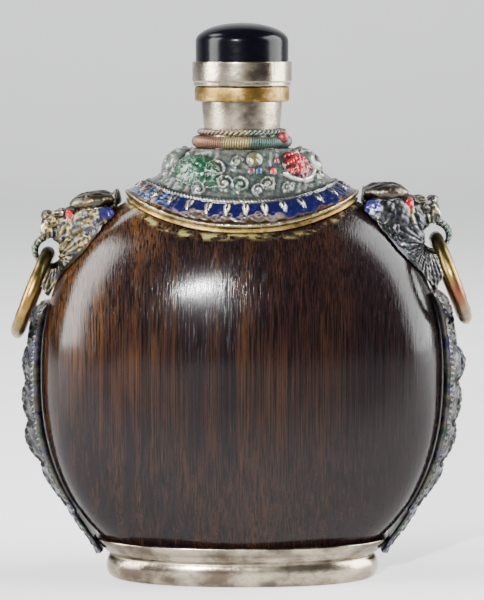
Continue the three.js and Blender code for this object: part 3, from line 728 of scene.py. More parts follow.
# A bush of green enamel in a net of silver wires.
across, up = around(-40, 0.56)
bush = mound(across, up, 4.5, 2.6)
net = np.clip(1 - np.abs(wave(cape_base, 1.5, 24)) / 0.24, 0, 1) * smoothstep(bush, 0.02, 0.2)
cape_relief += 0.9 * bush**0.6 + 0.16 * net + 0.1 * wave(cape_base, 1.5, 25) * (bush > 0)
leaf = smoothstep(bush, 0.02, 0.16) * (1 - smoothstep(net, 0.45, 0.8))
cape_tint = tinted(
    cape_tint,
    (leaf, tone(12, 66, 40)),
    (leaf * patches(cape_base, 1.8, 26, 0.0, 0.7) * 0.4, tone(50, 92, 72)),
    (smoothstep(net, 0.45, 0.8) * 0.6, tone(104, 126, 112)),
)
cape_glaze = np.maximum(cape_glaze, leaf * 0.9)

# A blossom set with red glass beads over a silver crescent.
across, up = around(52, 0.51)
BEAD_RADIUS = 0.33
BEAD_PITCHES = (0.72, 0.62)
BEAD_STRAY = 0.13
CRESCENT_RADIUS = 2.95
CRESCENT_HALF = 0.3
blossom = mound(across, up, 2.75, 2.6)
row = np.round(up / BEAD_PITCHES[1])
column = np.round(across / BEAD_PITCHES[0] - row * 0.5)
near_x = across - (column + row * 0.5) * BEAD_PITCHES[0] - BEAD_STRAY * np.sin(column * 5.1 + row * 3.3)
near_y = up - row * BEAD_PITCHES[1] - BEAD_STRAY * np.cos(column * 7.7 + row * 1.9)
kept = np.sin(column * 12.9 + row * 78.2) > -0.55
bead = np.sqrt(mound(near_x, near_y, BEAD_RADIUS, BEAD_RADIUS)) * kept * (blossom > 0.12)
from_crescent = (np.hypot(across, up) - CRESCENT_RADIUS) / CRESCENT_HALF
crescent = np.sqrt(np.clip(1 - from_crescent**2, 0, 1)) * (up < 0.2 * np.abs(across) - 1.0)
cape_relief += 0.95 * blossom**0.6 + 0.24 * bead + 0.5 * crescent
red_ground = 0.85 * smoothstep(blossom, 0.2, 0.6) * smoothstep(pitted, -0.6, 0.1)
red = np.maximum(smoothstep(bead, 0.05, 0.3), red_ground)
cape_tint = tinted(
    cape_tint,
    (blossom > 0.03, tone(64, 44, 48)),
    (red, tone(170, 6, 24)),
    (crescent, tone(224, 220, 208)),
)
cape_glaze = np.maximum(cape_glaze, red)

# A plain boss of patina on each narrow side, and small scrolls, dots and a yellow flower between the rest.
for place_bearing, place_reach, half_size, shade in [
    (90, 0.5, 2.9, tone(108, 120, 112)),
    (-90, 0.5, 2.9, tone(108, 120, 112)),
    (12, 0.36, 1.25, tone(112, 108, 66)),
]:
    across, up = around(place_bearing, place_reach)
    boss = mound(across, up, half_size, half_size)
    petal = 0.5 + 0.5 * np.cos(6 * np.arctan2(up, across))
    cape_relief += boss**0.6 * (0.35 + 0.15 * half_size * (0.6 + 0.4 * petal))
    cape_tint = tinted(cape_tint, (smoothstep(boss, 0.05, 0.4) * 0.8, shade))
broken = 0.75 * patches(cape_base, 1.1, 29, -0.3, 0.6)
for place_bearing, place_reach, size, hand, shade in [
    (-21, 0.52, 1.6, 1, tone(140, 150, 144)),
    (-13, 0.7, 1.35, -1, tone(168, 170, 166)),
    (-29, 0.84, 1.2, 1, tone(176, 178, 172)),
    (-5, 0.4, 1.0, -1, tone(84, 90, 88)),
    (-1, 0.72, 1.45, 1, tone(46, 46, 48)),
    (11, 0.8, 1.1, -1, tone(196, 186, 156)),
    (19, 0.72, 1.2, 1, tone(190, 182, 156)),
    (31, 0.82, 1.0, -1, tone(92, 94, 92)),
    (70, 0.74, 1.5, 1, tone(108, 116, 112)),
    (-68, 0.72, 1.5, -1, tone(112, 118, 114)),
    (-62, 0.35, 1.0, 1, tone(96, 112, 104)),
    (76, 0.3, 1.0, -1, tone(96, 108, 104)),
]:
    across, up = around(place_bearing, place_reach)
    line = scroll(across, up, (0, 0), size, hand) * smoothstep(reach, 0.08, 0.2) * (reach < 0.94)
    cape_relief += 0.32 * line + 0.22 * mound(across, up, size, size)
    cape_tint = tinted(cape_tint, (smoothstep(line, 0.2, 0.6) * broken, shade))
for place_bearing, place_reach, size, shade in [
    (8, 0.53, 0.5, tone(110, 50, 70)),
    (14, 0.53, 0.45, tone(40, 60, 120)),
    (26, 0.55, 0.5, tone(224, 10, 50)),
    (33, 0.4, 0.4, tone(180, 20, 50)),
]:
    across, up = around(place_bearing, place_reach)
    dot = np.sqrt(mound(across, up, size, size))
    cape_relief += 0.35 * dot
    cape_tint = tinted(cape_tint, (smoothstep(dot, 0.2, 0.5), shade))
    cape_glaze = np.maximum(cape_glaze, smoothstep(dot, 0.2, 0.5))
corroded = 0.5 * wave(cape_base, 1.3, 27) + 0.5 * wave(cape_base, 2.3, 28)
cape_relief += (0.08 * corroded + 0.015 * pitted) * (reach < 0.96)

# The cape's underside, close over the wood, and its edge are bare metal.
under_reaches, under_angles = np.meshgrid([0, 0.4, 0.7, 1, 1.4, 1.7, 1.97, 2.0], cape_angles, indexing="ij")
under_height = lerp(CAPE_NECK_GAP, CAPE_FLOOR, np.minimum(under_reaches, 1))
under_height[-1] = CAPE_FLOOR + CAPE_THICKNESS / 2
under = shoulder(*cape_plan(under_reaches, under_angles), under_height)
cape_grid = np.concatenate([under, raised(cape_base, cape_relief)])
cape_grid[..., 2] += BODY_MIDDLE
cape_skin = skin(cape_grid, True)
cape_colours = np.concatenate([np.broadcast_to(tone(120, 104, 78), under.shape), cape_tint])
cape_glazes = np.concatenate([np.zeros(under.shape[:2]), cape_glaze])


def enamelled_relief(blank):
    tint = blank.mark("tint", 0)
    glaze = blank.mark("glaze")
    ridge = blank.mark("ridge")
    speck = blank.noise((3.0, 3.0, 3.0), 3.0, 0.6)
    cloud = blank.noise((0.7, 0.7, 0.7), 3.0, 0.6)
    hollow = 1 - ridge.between(-0.06, 0.02)
    rubbed = ridge.between(0.03, 0.14) * (1 - glaze) * cloud.between(0.35, 0.6)
    dirty = (hollow * 0.85 * (1 - glaze * 0.4)).blend(tint, tone(24, 25, 28))
    bright = (rubbed * 0.7).blend(dirty, tone(232, 222, 196))
    return {
        "Base Color": (speck.between(0.54, 0.68) * 0.55 * (1 - glaze * 0.6)).blend(bright, tone(46, 48, 50)),
        "Metallic": 1 - glaze,
        "Roughness": 0.3 - glaze * 0.15 - rubbed * 0.1 + cloud * 0.1,
        "Specular IOR Level": 0.4,
        "Coat Weight": glaze * 0.2,
        "Coat Roughness": 0.08,
        "Normal": blank.bump(speck + cloud * 2.0, 0.04),
    }


relief_metal = finish("enamelled_relief", enamelled_relief)
cape = made(
    "enamelled_cape",
    cape_skin,
    "bottle",
    "enamelled_silver",
    relief_metal,
    tint=on_poles(cape_colours, True),
    glaze=on_poles(cape_glazes, True),
    ridge=ridges(cape_skin, 12),
)
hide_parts("shoulder_cape")

# The liner: a thin sheet of yellow brass under the cape. Only its edge shows, as a second line round it.
# Its profile is in reach, as the cape's plan is, and in millimetres over the wood.
LINER_OUTER = 2.1
LINER_WIDTH = 0.57
LINER_HEIGHTS = (0.15, 0.45)
LINER_EDGE = 0.08
LINER_BEVEL = 0.03
LINER_COLUMNS = 360
liner_low, liner_high = LINER_HEIGHTS
liner_profile = [
    (LINER_OUTER - LINER_WIDTH, liner_low),
    (LINER_OUTER - LINER_BEVEL, liner_low),
    (LINER_OUTER, liner_low + LINER_EDGE),
    (LINER_OUTER, liner_high - LINER_EDGE),
    (LINER_OUTER - LINER_BEVEL, liner_high),
    (LINER_OUTER - LINER_WIDTH, liner_high),
]
liner_turns = turns(LINER_COLUMNS)
liner_rows = [shoulder(*cape_plan(reach, liner_turns), height) for reach, height in liner_profile]
liner_grid = np.array(liner_rows) + [0, 0, BODY_MIDDLE]


def yellow_brass(blank):
    cloud = blank.noise((0.35, 0.35, 0.35), 3.0, 0.6)
    speck = blank.noise((2.2, 2.2, 4.0), 3.0, 0.6)
    dull = cloud.between(0.4, 0.65).blend(tone(132, 104, 52), tone(206, 174, 108))
    return {
        "Base Color": (speck.between(0.56, 0.7) * 0.6).blend(dull, tone(74, 62, 40)),
        "Metallic": 1.0,
        "Roughness": 0.24 + cloud * 0.2 + speck * 0.1,
        "Normal": blank.bump(speck, 0.02),
    }


brass = finish("yellow_brass", yellow_brass)
liner = made("brass_liner", skin(liner_grid, True), "bottle", "brass_sheet", brass)
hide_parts("cape_liner")

# The neck: a plain tube of white metal that widens a little upwards, under a brass band whose ends lap
# over each other at the right.
NECK_BASE = 63.05
NECK_TOP = 78.15
NECK_RADII = (5.95, 6.4)
NECK_BORE = 5.2
RIM_BASE = 75.75
RIM_OUTER = 7.7
RIM_LAP = 0.16
SEAM_BEARING = 53
NECK_COLUMNS = 160
BAND_COLUMNS = 400

neck_profile = rounded(
    [
        (NECK_BORE, NECK_BASE, 0),
        (NECK_RADII[0], NECK_BASE, 0.1),
        (NECK_RADII[0], 70.6, 0.3),
        (NECK_RADII[1], RIM_BASE, 0.3),
        (NECK_RADII[1], NECK_TOP, 0.1),
        (NECK_BORE, NECK_TOP, 0.1),
        (NECK_BORE, NECK_BASE, 0),
    ],
    1.0,
)[:-1]
neck_grid = lathe(neck_profile, NECK_COLUMNS)
neck_skin = skin(neck_grid, True)
evenly_worn = np.full(len(neck_skin[0]), 0.03)
neck = made("neck_sleeve", neck_skin, "bottle", "white_metal", foot_metal, ridge=evenly_worn)
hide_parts("neck_tube")


def lapped(grid, bearing, step):
    """A band's grid with its ends lapped: it swells a little towards a seam, and drops after it."""
    past = (np.degrees(np.arctan2(grid[..., 1], grid[..., 0])) + 90 - bearing) % 360
    swell = step * (smoothstep(past, 325, 357) - smoothstep(past, 357.5, 359.8))
    lap = grid.copy()
    lap[..., :2] *= (1 - (step - swell) / np.hypot(grid[..., 0], grid[..., 1]))[..., None]
    return lap


RIM_INNER = NECK_RADII[1] + 0.15
rim_profile = rounded(
    [
        (RIM_INNER, RIM_BASE, 0),
        (RIM_OUTER - 0.05, RIM_BASE, 0.35),
        (RIM_OUTER, NECK_TOP - 1.2, 0.6),
        (RIM_OUTER - 0.05, NECK_TOP, 0.35),
        (RIM_INNER, NECK_TOP, 0.1),
        (RIM_INNER, RIM_BASE, 0),
    ],
    0.3,
)[:-1]
rim_grid = lapped(lathe(rim_profile, BAND_COLUMNS), SEAM_BEARING, RIM_LAP)
rim = made("brass_rim", skin(rim_grid, True), "bottle", "brass_sheet", brass)
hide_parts("neck_rim_ring")

# Two wire rings lie where the neck meets the cape: a fat one of fine wire wound on a core, and a thin one
# of two strands twisted together. Both are gilt copper gone green, and a bead of red is caught beside them.
COIL_RADIUS = 7.05
COIL_LEVEL = 69.45
COIL_HALF = 0.95
COIL_WIRE = 0.17
COIL_WINDS = 126
TWIST_RADIUS = 6.66
TWIST_LEVEL = 70.975
TWIST_STRAND = 0.235
TWIST_TURNS = 26
CORE_STEPS = 160
COIL_STEPS = 14
TWIST_STEPS = 18
BEAD_SIZES = (0.95, 0.85, 0.95)
BEAD_OUT = 7.7
BEAD_UP = 0.75


def tube(path, radius, away, sides=8, closed=False):
    """Rows of points round a path. away holds a direction to one side of the path at each of its points."""
    if closed:
        along = np.roll(path, -1, 0) - np.roll(path, 1, 0)
    else:
        along = np.gradient(path, axis=0)
    along /= np.linalg.norm(along, axis=-1, keepdims=True)
    side = away - np.sum(away * along, -1, keepdims=True) * along
    side /= np.linalg.norm(side, axis=-1, keepdims=True)
    other = np.cross(along, side)
    turn = turns(sides)
    wide = np.broadcast_to(radius, len(path))[:, None, None]
    round_it = np.cos(turn)[:, None] * side[:, None] + np.sin(turn)[:, None] * other[:, None]
    return path[:, None] + wide * round_it


def wound(ring_radius, level, wire_reach, winds, per_wind, phase=0.0):
    """A path wound round a ring that circles the neck, and the direction from the ring at each point."""
    course = turns(winds * per_wind)
    bearing = np.stack([np.cos(course), np.sin(course), np.zeros(len(course))], -1)
    wind = course * winds + phase
    away = bearing * np.cos(wind)[:, None] + np.array([0, 0, 1]) * np.sin(wind)[:, None]
    return bearing * ring_radius + [0, 0, level] + away * wire_reach, away


def joined(pieces):
    """Several surfaces as one."""
    points, faces = [], []
    for some_points, some_faces in pieces:
        start = sum(len(earlier) for earlier in points)
        points.append(some_points)
        faces += [[corner + start for corner in face] for face in some_faces]
    return np.vstack(points), faces


def lump(middle, sizes, columns=32, rows=20):
    """A rounded lump of three half sizes."""
    rise = np.linspace(-np.pi / 2, np.pi / 2, rows + 2)[1:-1]
    turn = turns(columns)
    x, y = np.outer(np.cos(rise), np.cos(turn)), np.outer(np.cos(rise), np.sin(turn))
    z = np.outer(np.sin(rise), np.ones(columns))
    return skin(np.stack([x, y, z], -1) * sizes + middle, False)


def old_wire(blank):
    tint = blank.mark("tint", 0)
    ridge = blank.mark("ridge")
    grime = blank.noise((1.2, 1.2, 1.2), 3.0, 0.6)
    hollow = 1 - ridge.between(-0.04, 0.02)
    return {
        "Base Color": (hollow * 0.7 + grime.between(0.55, 0.7) * 0.3).blend(tint, tone(26, 34, 32)),
        "Metallic": 0.75,
        "Roughness": 0.34 + grime * 0.25,
    }


wire_metal = finish("old_wire", old_wire)


def from_ring(points, ring_radius, level):
    """How far points lie from the middle line of a ring round the neck."""
    return np.hypot(np.hypot(points[:, 0], points[:, 1]) - ring_radius, points[:, 2] - level)


def wire_tint(points):
    """Copper at the left of the front, gold in its middle and green patina on the rest."""
    bearing = (np.degrees(np.arctan2(points[:, 1], points[:, 0])) + 90 + 180) % 360 - 180
    copper = smoothstep(bearing, -82, -72) * (1 - smoothstep(bearing, -26, -20))
    gold = smoothstep(bearing, -26, -20) * (1 - smoothstep(bearing, 5, 12))
    gold = gold + 0.8 * (np.abs(bearing - 140) < 22)
    mottled = patches(points, 2.5, 41, 0.0, 0.9)
    return tinted(
        tone(80, 100, 94),
        (mottled * 0.6, tone(116, 124, 112)),
        (copper, tone(136, 98, 80)),
        (gold, tone(158, 142, 94)),
    )


core_path = wound(COIL_RADIUS, COIL_LEVEL, 0, 1, CORE_STEPS)[0]
coil_path, coil_away = wound(COIL_RADIUS, COIL_LEVEL, COIL_HALF - COIL_WIRE, COIL_WINDS, COIL_STEPS)
bead_turn = math.radians(SEAM_BEARING + 3 - 90)
bead_middle = [BEAD_OUT * math.cos(bead_turn), BEAD_OUT * math.sin(bead_turn), COIL_LEVEL + BEAD_UP]
red_bead = lump(bead_middle, BEAD_SIZES)
up_vector = np.tile([0.0, 0.0, 1.0], (len(core_path), 1))
coil_points, coil_faces = joined(
    [
        skin(tube(core_path, COIL_HALF - COIL_WIRE, up_vector, 20, True), True),
        skin(tube(coil_path, COIL_WIRE, coil_away, 6, True), True),
        red_bead,
    ]
)
coil_colours = wire_tint(coil_points)
coil_colours[-len(red_bead[0]) :] = tone(150, 66, 66)
coil = made(
    "wound_wire_ring",
    (coil_points, coil_faces),
    "bottle",
    "coiled_wire",
    wire_metal,
    tint=coil_colours,
    ridge=from_ring(coil_points, COIL_RADIUS, COIL_LEVEL) - 0.86,
)
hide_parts("neck_coil_ring")

strands = []
for phase in (0, np.pi):
    strand_path, strand_away = wound(TWIST_RADIUS, TWIST_LEVEL, TWIST_STRAND, TWIST_TURNS, TWIST_STEPS, phase)
    strands.append(skin(tube(strand_path, TWIST_STRAND, strand_away, 8, True), True))
twist_points, twist_faces = joined(strands)
twist = made(
    "twisted_wire_ring",
    (twist_points, twist_faces),
    "bottle",
    "coiled_wire",
    wire_metal,
    tint=lerp(wire_tint(twist_points), np.array(tone(150, 150, 140)), 0.3),
    ridge=from_ring(twist_points, TWIST_RADIUS, TWIST_LEVEL) - 0.3,
)
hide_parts("neck_twist_ring")

# The stopper: a collar of white metal sheet, lapped and soldered at the right, with a plug under it, and
# a domed cap of glossy black glass cemented into it.
STOPPER_BASE = 78.25
COLLAR_OUTER = 8.0
COLLAR_TOP = STOPPER_BASE + 3.8
CAP_SEAT = STOPPER_BASE + 1.2
CAP_RADIUS = 7.35
CAP_SPRINGING = 85.25
CAP_TOP = 88.15
CAP_COLUMNS = 160
PLUG_RADIUS = 5.05
PLUG_BASE = STOPPER_BASE - 6
COLLAR_SEAM = 40
COLLAR_LAP = 0.12
COLLAR_AXIS = 0.4
CAP_AXIS = 0.3

collar_profile = [(COLLAR_AXIS, PLUG_BASE)] + rounded(
    [
        (PLUG_RADIUS - 0.85, PLUG_BASE, 0),
        (PLUG_RADIUS - 0.5, PLUG_BASE, 0.2),
        (PLUG_RADIUS, PLUG_BASE + 0.5, 0.2),
        (PLUG_RADIUS, STOPPER_BASE, 0.1),
        (COLLAR_OUTER - 0.2, STOPPER_BASE, 0.15),
        (COLLAR_OUTER - 0.2, STOPPER_BASE + 0.6, 0.08),
        (COLLAR_OUTER, STOPPER_BASE + 0.7, 0.1),
        (COLLAR_OUTER, COLLAR_TOP, 0.18),
        (COLLAR_OUTER - 0.5, COLLAR_TOP, 0.12),
        (COLLAR_OUTER - 0.5, CAP_SEAT - 0.05, 0.1),
        (7.0, CAP_SEAT - 0.05, 0),
    ],
    0.4,
)
collar_profile.append((COLLAR_AXIS, CAP_SEAT - 0.05))
collar_grid = lathe(collar_profile, BAND_COLUMNS)
outside = (np.hypot(collar_grid[..., 0], collar_grid[..., 1]) > COLLAR_OUTER - 0.3)[..., None]
collar_grid = np.where(outside, lapped(collar_grid, COLLAR_SEAM, COLLAR_LAP), collar_grid)
collar_skin = skin(collar_grid, False)
rubbed_edges = 2 * ridges(collar_skin, 3) + 0.03
collar = made("stopper_sleeve", collar_skin, "bottle", "white_metal", foot_metal, ridge=rubbed_edges)
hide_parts("stopper_collar")


def black_glass(blank):
    haze = blank.noise((0.4, 0.4, 0.4), 3.0)
    scratch = blank.noise((0.6, 3.0, 3.0), 3.0)
    return {
        "Base Color": haze.blend(tone(3, 3, 5), tone(10, 10, 20)),
        "Roughness": 0.14 + scratch * 0.14,
        "Specular IOR Level": 0.12,
        "Normal": blank.bump(scratch, 0.003),
    }


dome = [
    (CAP_RADIUS * math.cos(t), CAP_SPRINGING + (CAP_TOP - CAP_SPRINGING) * math.sin(t))
    for t in np.radians(np.arange(0, 90, 4))
]
cap_wall = rounded([(7, CAP_SEAT, 0), (CAP_RADIUS, CAP_SEAT, 0.2), (CAP_RADIUS, CAP_SPRINGING, 0)])
cap_grid = lathe([(CAP_AXIS, CAP_SEAT)] + cap_wall + dome[1:], CAP_COLUMNS)
glass = finish("black_glass", black_glass)
cap = made("glass_cap", skin(cap_grid, False), "bottle", "black_cap", glass)
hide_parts("stopper_cap")

# The lion masks: cast silver heads with chased manes, enamelled in small cells and set with beads. Each is
# shaped to the shoulder, and a tongue curls under its snout to make the eye for the loose ring.
EYE_RISE = {"right": 21.7, "left": 19.3}
EYE_OUT = {
    name: BODY_HALF[0] * float(body_share(rise)) + standoff
    for (name, rise), standoff in zip(EYE_RISE.items(), (5.3, 3.5))
}
MANE_LIFT = {"right": -0.2, "left": 1.9}
HEAD_LEAN = {"right": 0.0, "left": 7.5}
MANE_HALF = (10.0, 8.2)
MANE_LOCKS = 14
EYE_RADIUS = 1.85
EYE_FLARE = 0.09
EYE_HALF_LENGTH = 3.2
CAPE_CLEARANCE = 1.45
WOOD_CLEARANCE = 0.3
MASK_GRAIN = 0.135

DARK_SILVER = tone(72, 73, 75)
# Each lump's middle and half sizes about the ring's eye, its colour and how much of it is enamel. The ones
# marked True stand on both sides of the face.
FACE = [
    ((-5.6, 0, 3.0), (5.0, 4.5, 4.0), DARK_SILVER, 0.0, False),
    ((-7.9, 4.0, 2.9), (4.3, 2.8, 4.0), DARK_SILVER, 0.0, True),
    ((-4.9, 4.4, -0.2), (3.3, 2.6, 3.0), tone(84, 84, 90), 0.0, True),
    ((-1.9, 0, 4.6), (2.7, 2.9, 1.75), tone(98, 94, 86), 0.0, False),
    # The small cheek leaf below: its pale gold colour is a painted highlight.
    ((-3.7, 4.6, 4.0), (0.45, 0.5, 1.2), tone(206, 190, 140), 0.0, True),
    ((-0.3, 0, 5.75), (1.0, 1.7, 0.9), tone(130, 124, 112), 0.0, False),
    ((-9.0, 0, 7.0), (1.7, 1.1, 1.1), tone(120, 112, 100), 0.0, False),
    ((-7.8, 3.4, 7.25), (3.5, 2.3, 1.3), tone(116, 106, 90), 0.0, True),
    ((-3.2, 4.3, 2.6), (1.6, 1.5, 1.7), tone(72, 74, 82), 0.0, True),
    ((-0.5, 1.75, 3.3), (1.5, 1.25, 1.05), tone(126, 120, 108), 0.0, True),
    # The nostril and lip lump below: its cream colour is a painted highlight.
    ((0.1, 1.5, 4.1), (0.8, 0.7, 0.6), tone(232, 212, 168), 0.0, True),
    ((-2.5, 2.5, 6.0), (1.3, 0.6, 0.5), tone(124, 116, 104), 0.0, True),
    ((-6.3, 6.65, 1.6), (0.5, 0.45, 0.85), tone(188, 140, 112), 0.2, True),
    ((-4.2, 4.05, 5.6), (0.7, 0.66, 0.9), tone(168, 4, 22), 1.0, True),
]


def at_eye(points, side):
    """Points made about the ring's eye, put in their place on the right-hand side of the body."""
    lean = math.radians(HEAD_LEAN[side])
    x = points[:, 0] * math.cos(lean) + points[:, 2] * math.sin(lean) + EYE_OUT[side]
    z = points[:, 2] * math.cos(lean) - points[:, 0] * math.sin(lean) + EYE_RISE[side]
    return np.stack([x, points[:, 1], z], -1)


def about_eye(points, side):
    """The reverse of at_eye."""
    lean = math.radians(HEAD_LEAN[side])
    x, z = points[:, 0] - EYE_OUT[side], points[:, 2] - EYE_RISE[side]
    out = x * math.cos(lean) - z * math.sin(lean)
    up = x * math.sin(lean) + z * math.cos(lean)
    return np.stack([out, points[:, 1], up], -1)


def side_point(angle, depth, height):
    """Points over the narrow side: at an angle up round the shell, a depth from its middle and a height."""
    across, up = np.cos(angle), np.sin(angle)
    share = root(1 - power(depth / BODY_HALF[1])) / root(power(across) + power(up))
    surface = np.stack([BODY_HALF[0] * across * share, depth + 0 * share, tallness(up) * up * share], -1)
    return lifted(surface, height)


def curl(middle, size, wire, mirror):
    """A tapering wire that winds inwards to a knob, on one side of the head."""
    course = np.linspace(0, 1, 60)
    turn = 2.6 * np.pi * course + 0.4
    far = size * (1 - 0.88 * course)
    path = np.stack([far * np.cos(turn), mirror * 0.5 * course * size, far * np.sin(turn)], -1)
    sideways = np.tile([0.0, 1.0, 0.0], (len(course), 1))
    return skin(tube(path + middle * [1, mirror, 1], wire * (0.75 + 0.5 * course), sideways, 10), False)


PLATE_ROWS = 12
MANE_ROWS = 90
MANE_COLUMNS = 700
MANE_HEIGHT = 1.75
MANE_SLOPE = 1.3
LOCK_HEIGHT = 0.3
COMB_LINES = 17
COMB_HEIGHT = 0.07
HEM_HEIGHT = 0.1
CHIN_RUN = (3.4, 5.4)
CHIN_HALF_WIDTH = 3.2
CHIN_HEIGHT = 1.6
BEARD_SCROLLS = [(5.6, -4.9), (6.4, -1.4), (6.0, 2.4)]


def mane_plate(side):
    """The mane and beard as one combed plate, bent to the narrow side. Down is towards the beard."""
    shares = np.concatenate([np.linspace(0.04, 1, PLATE_ROWS), [1.0], np.linspace(1, 0.04, MANE_ROWS)])
    is_top = np.concatenate([np.zeros(PLATE_ROWS), [0.5], np.ones(MANE_ROWS)])
    share, turn = np.meshgrid(shares, turns(MANE_COLUMNS), indexing="ij")
    down, across = np.cos(turn), np.sin(turn)
    lock = 0.5 + 0.5 * np.cos(MANE_LOCKS * (turn + np.pi / 2))
    plate_reach = share * (0.98 + 0.02 * lock)
    beard = 1 - 0.1 * smoothstep(down, 0.3, 0.8) - 0.3 * smoothstep(down, 0.85, 1)
    crest = 1 - 0.3 * smoothstep(-down, 0.3, 1)
    run = MANE_HALF[0] * plate_reach * down
    depth = MANE_HALF[1] * plate_reach * across * beard * crest

    slope = smoothstep(share, 0.5, 1)
    top = MANE_HEIGHT - MANE_SLOPE * slope * (1 - smoothstep(-down, 0.85, 1))
    top = top + LOCK_HEIGHT * lock * smoothstep(share, 0.3, 0.8)
    chin = smoothstep(run, *CHIN_RUN) * (1 - smoothstep(share, 0.8, 1)) * mound(depth, 0, CHIN_HALF_WIDTH, 1)
    combed = np.cos(2 * np.pi * (COMB_LINES * share + 0.35 * np.sin(5 * turn)))
    combed *= smoothstep(share, 0.35, 0.55) * (1 - smoothstep(share, 0.88, 0.94))
    top = top + CHIN_HEIGHT * chin + COMB_HEIGHT * combed + HEM_HEIGHT * smoothstep(share, 0.945, 0.97)
    for middle in BEARD_SCROLLS:
        top = top + 0.22 * scroll(np.abs(depth), run, middle, 1.5, 1) * smoothstep(share, 0.4, 0.6)

    start = math.atan2(EYE_RISE[side] / BODY_RISE, float(body_share(EYE_RISE[side])))
    middle_out = side_point(np.array([start]), np.array([0.0]), np.array([0.0]))
    angle = start + (MANE_LIFT[side] - run) / float(np.linalg.norm(middle_out))
    return skin(side_point(angle, depth, WOOD_CLEARANCE + is_top[:, None] * top), False)


BAND_ENDS = (80, -150)
BAND_THICKNESSES = (0.3, 0.64)
BAND_HALF_WIDTH = 1.3
BAND_GROOVE = 0.14
BAND_ROWS = 70
BAND_SIDES = 28


def tongue_band():
    """The flat tongue, from the snout out and round under the eye, with a groove along its outer side."""
    round_it = turns(BAND_SIDES)
    rows = []
    for degrees in np.linspace(*BAND_ENDS, BAND_ROWS):
        turn = math.radians(degrees)
        out = np.array([math.cos(turn), 0, math.sin(turn)])
        thick = float(lerp(*BAND_THICKNESSES, smoothstep(degrees, -60, 30)))
        groove = BAND_GROOVE * mound(np.cos(round_it), 0, 0.3, 1) * (np.sin(round_it) > 0)
        far = EYE_RADIUS - 0.1 + thick * (1 + np.sin(round_it)) - groove
        across = (BAND_HALF_WIDTH + 0.2 * np.sin(turn)) * np.cos(round_it)
        rows.append(far[:, None] * out + across[:, None] * np.array([0, 1, 0]))
    return skin(np.array(rows), False)


def kept_clear(points, side):
    """Points moved out of the wood, the cape's space and the hole through the ring's eye."""
    local = about_eye(points, side)
    hole = EYE_RADIUS + EYE_FLARE * np.minimum(np.abs(local[:, 1]), EYE_HALF_LENGTH) ** 2
    far = np.hypot(local[:, 0], local[:, 2])
    inside = (far < hole) & (np.abs(local[:, 1]) < EYE_HALF_LENGTH)
    push = np.where(inside, hole / np.maximum(far, 0.05), 1)
    local[:, 0] *= push
    local[:, 2] *= push
    moved = at_eye(local, side)
    for _ in range(2):
        x, y, z = moved.T
        level = root(power(x / BODY_HALF[0]) + power(y / BODY_HALF[1]) + power(z / tallness(z)))
        level *= BODY_HALF[0] / (BODY_HALF[0] + WOOD_CLEARANCE)
        moved = moved / np.clip(level, 0.5, 1)[:, None]
    oval = np.hypot(*(moved[:, i] / (CAPE_HALF[i] + CAPE_CLEARANCE) for i in (0, 1)))
    moved[:, :2] /= np.clip(oval, 0.5, 1)[:, None]
    return moved


def fused(pieces, grain):
    """Overlapping closed pieces as one skin of small even faces, in millimetres."""
    points, faces = joined(pieces)
    rough = bpy.data.meshes.new("rough")
    rough.from_pydata(points.tolist(), [], faces)
    holder = bpy.data.objects.new("rough", rough)
    bpy.context.collection.objects.link(holder)
    change = holder.modifiers.new("fused", "REMESH")
    change.mode = "VOXEL"
    change.voxel_size = grain
    done = bpy.data.meshes.new_from_object(holder.evaluated_get(bpy.context.evaluated_depsgraph_get()))
    flat = np.empty(len(done.vertices) * 3)
    done.vertices.foreach_get("co", flat)
    corners = np.empty(len(done.loops), int)
    done.loops.foreach_get("vertex_index", corners)
    bpy.data.objects.remove(holder)
    bpy.data.meshes.remove(rough)
    bpy.data.meshes.remove(done)
    return flat.reshape(-1, 3), corners.reshape(-1, 4).tolist()


CURLS = [((-3.4, 5.8, 1.4), 1.2, 0.36), ((-1.3, 2.7, 4.6), 0.8, 0.26)]
CHEEK_PLANES = (5.2, 2.0)
CHEEK_FLATTENING = 0.6
STROKE_HEIGHT = 0.08
PITTING = 0.03


def mask_skin(side):
    """The whole mask in one skin, flattened at its cheeks, chased, and clear of what it hangs beside."""
    head = [tongue_band()]
    for middle, sizes, _, _, paired in FACE:
        for mirror in (1, -1) if paired else (1,):
            head.append(lump(np.array(middle) * [1, mirror, 1], sizes, 48, 30))
    head += [curl(np.array(middle), size, wire, mirror) for middle, size, wire in CURLS for mirror in (1, -1)]
    placed = [(at_eye(points, side), faces) for points, faces in head]
    points, faces = fused([mane_plate(side), *placed], MASK_GRAIN)

    local = about_eye(points, side)
    cheek = lerp(*CHEEK_PLANES, smoothstep(local[:, 0], -6.5, -0.5))
    past_cheek = np.maximum(np.abs(local[:, 1]) - cheek, 0) * (local[:, 2] < 6.1)
    local[:, 1] -= CHEEK_FLATTENING * np.sign(local[:, 1]) * past_cheek
    points = at_eye(local, side)
    turn_out = np.arctan2(local[:, 2] + 1, local[:, 0] + 1)
    far_out = np.hypot(local[:, 0], local[:, 2])
    stroke = wave(np.stack([7 * turn_out, 0.8 * local[:, 1], 0.25 * far_out], -1), 1.1, 57)
    chased = STROKE_HEIGHT * stroke + PITTING * wave(points, 0.8, 58)
    return kept_clear(points + normals((points, faces)) * chased[:, None], side), faces


